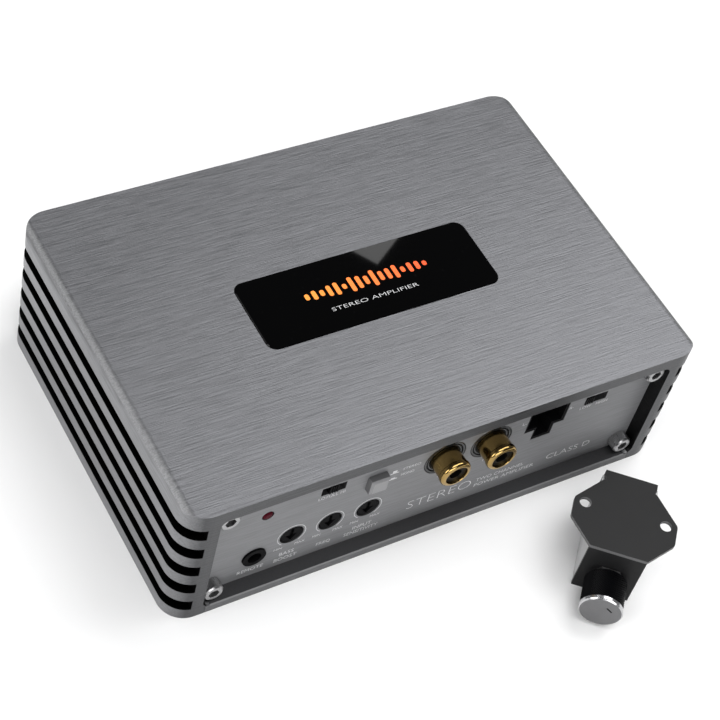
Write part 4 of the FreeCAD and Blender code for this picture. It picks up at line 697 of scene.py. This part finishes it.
def buildKnob():
    shape = bmesh.new()
    first = knob["rear"] + knob["bevel"]
    step = (knob["front"] - 0.25 * mm - first) / knob["rows"]
    profile = [(knob["bore"], knob["rear"]), (knob["radius"] - knob["bevel"], knob["rear"])]
    profile += [(knob["radius"], first + step * row) for row in range(knob["rows"] + 1)]
    profile += [(knob["radius"] - 0.25 * mm, knob["front"]), (knob["bore"], knob["front"])]
    made = lathe(shape, profile, knob["segments"], closed=True)
    for vert in made:
        row = (vert.co.z - first) / step
        side = math.atan2(vert.co.y, vert.co.x) / (2 * math.pi) * knob["segments"]
        inside = 0.5 < row < knob["rows"] - 0.5 and vert.co.xy.length > knob["radius"] * 0.98
        if inside and (round(row) + round(side)) % 2:
            vert.co.xy *= 1 - knob["depth"] / knob["radius"]
    bmesh.ops.transform(shape, matrix=levelPlace, verts=shape.verts)
    piece = addPiece("knobKnurled", shape, "knob_black", "level_knob")
    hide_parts("remote_knob")
    mark = bmesh.new()
    roundedBar(mark, (0, 0, 0), (knob["mark"][0], knob["mark"][1], 0.04 * mm), 0.1 * mm)
    place = levelPlace @ Matrix.Translation((*knob["markAt"], knob["face"])) @ Matrix.Rotation(
        math.radians(knob["markTurn"]), 4, "Z")
    bmesh.ops.transform(mark, matrix=place, verts=mark.verts)
    addPiece("knobMark", mark, "mark_black", "level_knob")


buildKnob()
print("level knob made")

studio = {
    "eye": (-0.2087, -0.23985, 0.3877),
    "aim": (-0.00073, -0.0066, 0.02),
    "roll": 16.63,
    "lens": 97.57,
    "floorHalf": 0.8,
    "world": 0.1,
    "backdrop": 0.95,
}
softboxes = (  # name, place, aim, turn in degrees, width, height, power; the glints show in the badge
    ("keyRight", (0.72, 0.08, 1.2), (0, 0, 0), 0, 1.1, 0.9, 12.5),
    ("overhead", (-0.1, -0.35, 1.4), (0, 0, 0), 0, 0.9, 0.7, 8.5),
    ("frontLow", (-0.35, -1.3, 0.5), (0, 0, 0.02), 0, 1.1, 0.6, 9.0),
    ("leftSide", (-1.3, -0.1, 0.55), (0, 0, 0.02), 0, 0.9, 0.7, 9.0),
    ("rear", (0.3, 1.35, 1.05), (0, 0, 0), 0, 1.0, 0.5, 2.3),
    ("leftRear", (-0.72, 0.72, 0.85), (0, 0, 0.03), 0, 0.9, 0.8, 2.6),
    ("glint", (0.639, 0.7305, 1.0), (0.639, 0.7305, 0), 32.8, 0.12, 0.04, 0.06),
    ("glintMiddle", (0.6173, 0.7641, 1.0), (0.6173, 0.7641, 0), 32.8, 0.12, 0.04, 0.03),
    ("glintLeft", (0.5956, 0.7977, 1.0), (0.5956, 0.7977, 0), 32.8, 0.12, 0.04, 0.014),
)


def buildStudio():
    floor = bmesh.new()
    bmesh.ops.create_grid(floor, x_segments=4, y_segments=4, size=studio["floorHalf"])
    mesh = bpy.data.meshes.new("floor")
    floor.to_mesh(mesh)
    floor.free()
    ground = bpy.data.objects.new("floor", mesh)
    mesh.materials.append(paleFloor())
    bpy.context.collection.objects.link(ground)

    for name, place, aim, turn, width, height, power in softboxes:
        lamp = bpy.data.lights.new(name, "AREA")
        lamp.shape = "RECTANGLE"
        lamp.size = width
        lamp.size_y = height
        lamp.energy = power
        holder = bpy.data.objects.new(name, lamp)
        holder.location = place
        facing = (Vector(aim) - Vector(place)).to_track_quat("-Z", "Y").to_matrix()
        holder.rotation_euler = (facing @ Matrix.Rotation(math.radians(turn), 3, "Z")).to_euler()
        holder.visible_camera = False
        bpy.context.collection.objects.link(holder)

    sky = Paint("studio", bpy.data.worlds, "Background", Color=(0.97, 0.98, 1.0, 1.0))
    seen = sky.add("ShaderNodeLightPath", output="Is Camera Ray")  # the backdrop casts little light
    level = sky.add("ShaderNodeMapRange", {}, {"Value": seen, "To Min": studio["world"],
                                               "To Max": studio["backdrop"]})
    sky.feed(sky.shader.inputs["Strength"], level)
    bpy.context.scene.world = sky.owner

    camera = bpy.data.objects.new("camera", bpy.data.cameras.new("camera"))
    camera.data.lens = studio["lens"]
    camera.data.sensor_width = 36.0
    camera.location = studio["eye"]
    gaze = (Vector(studio["aim"]) - Vector(studio["eye"])).to_track_quat("-Z", "Y").to_matrix()
    camera.rotation_euler = (gaze @ Matrix.Rotation(math.radians(studio["roll"]), 3, "Z")).to_euler()
    bpy.context.collection.objects.link(camera)
    bpy.context.scene.camera = camera
    bpy.context.scene.view_settings.view_transform = "Standard"


buildStudio()
print("studio made")
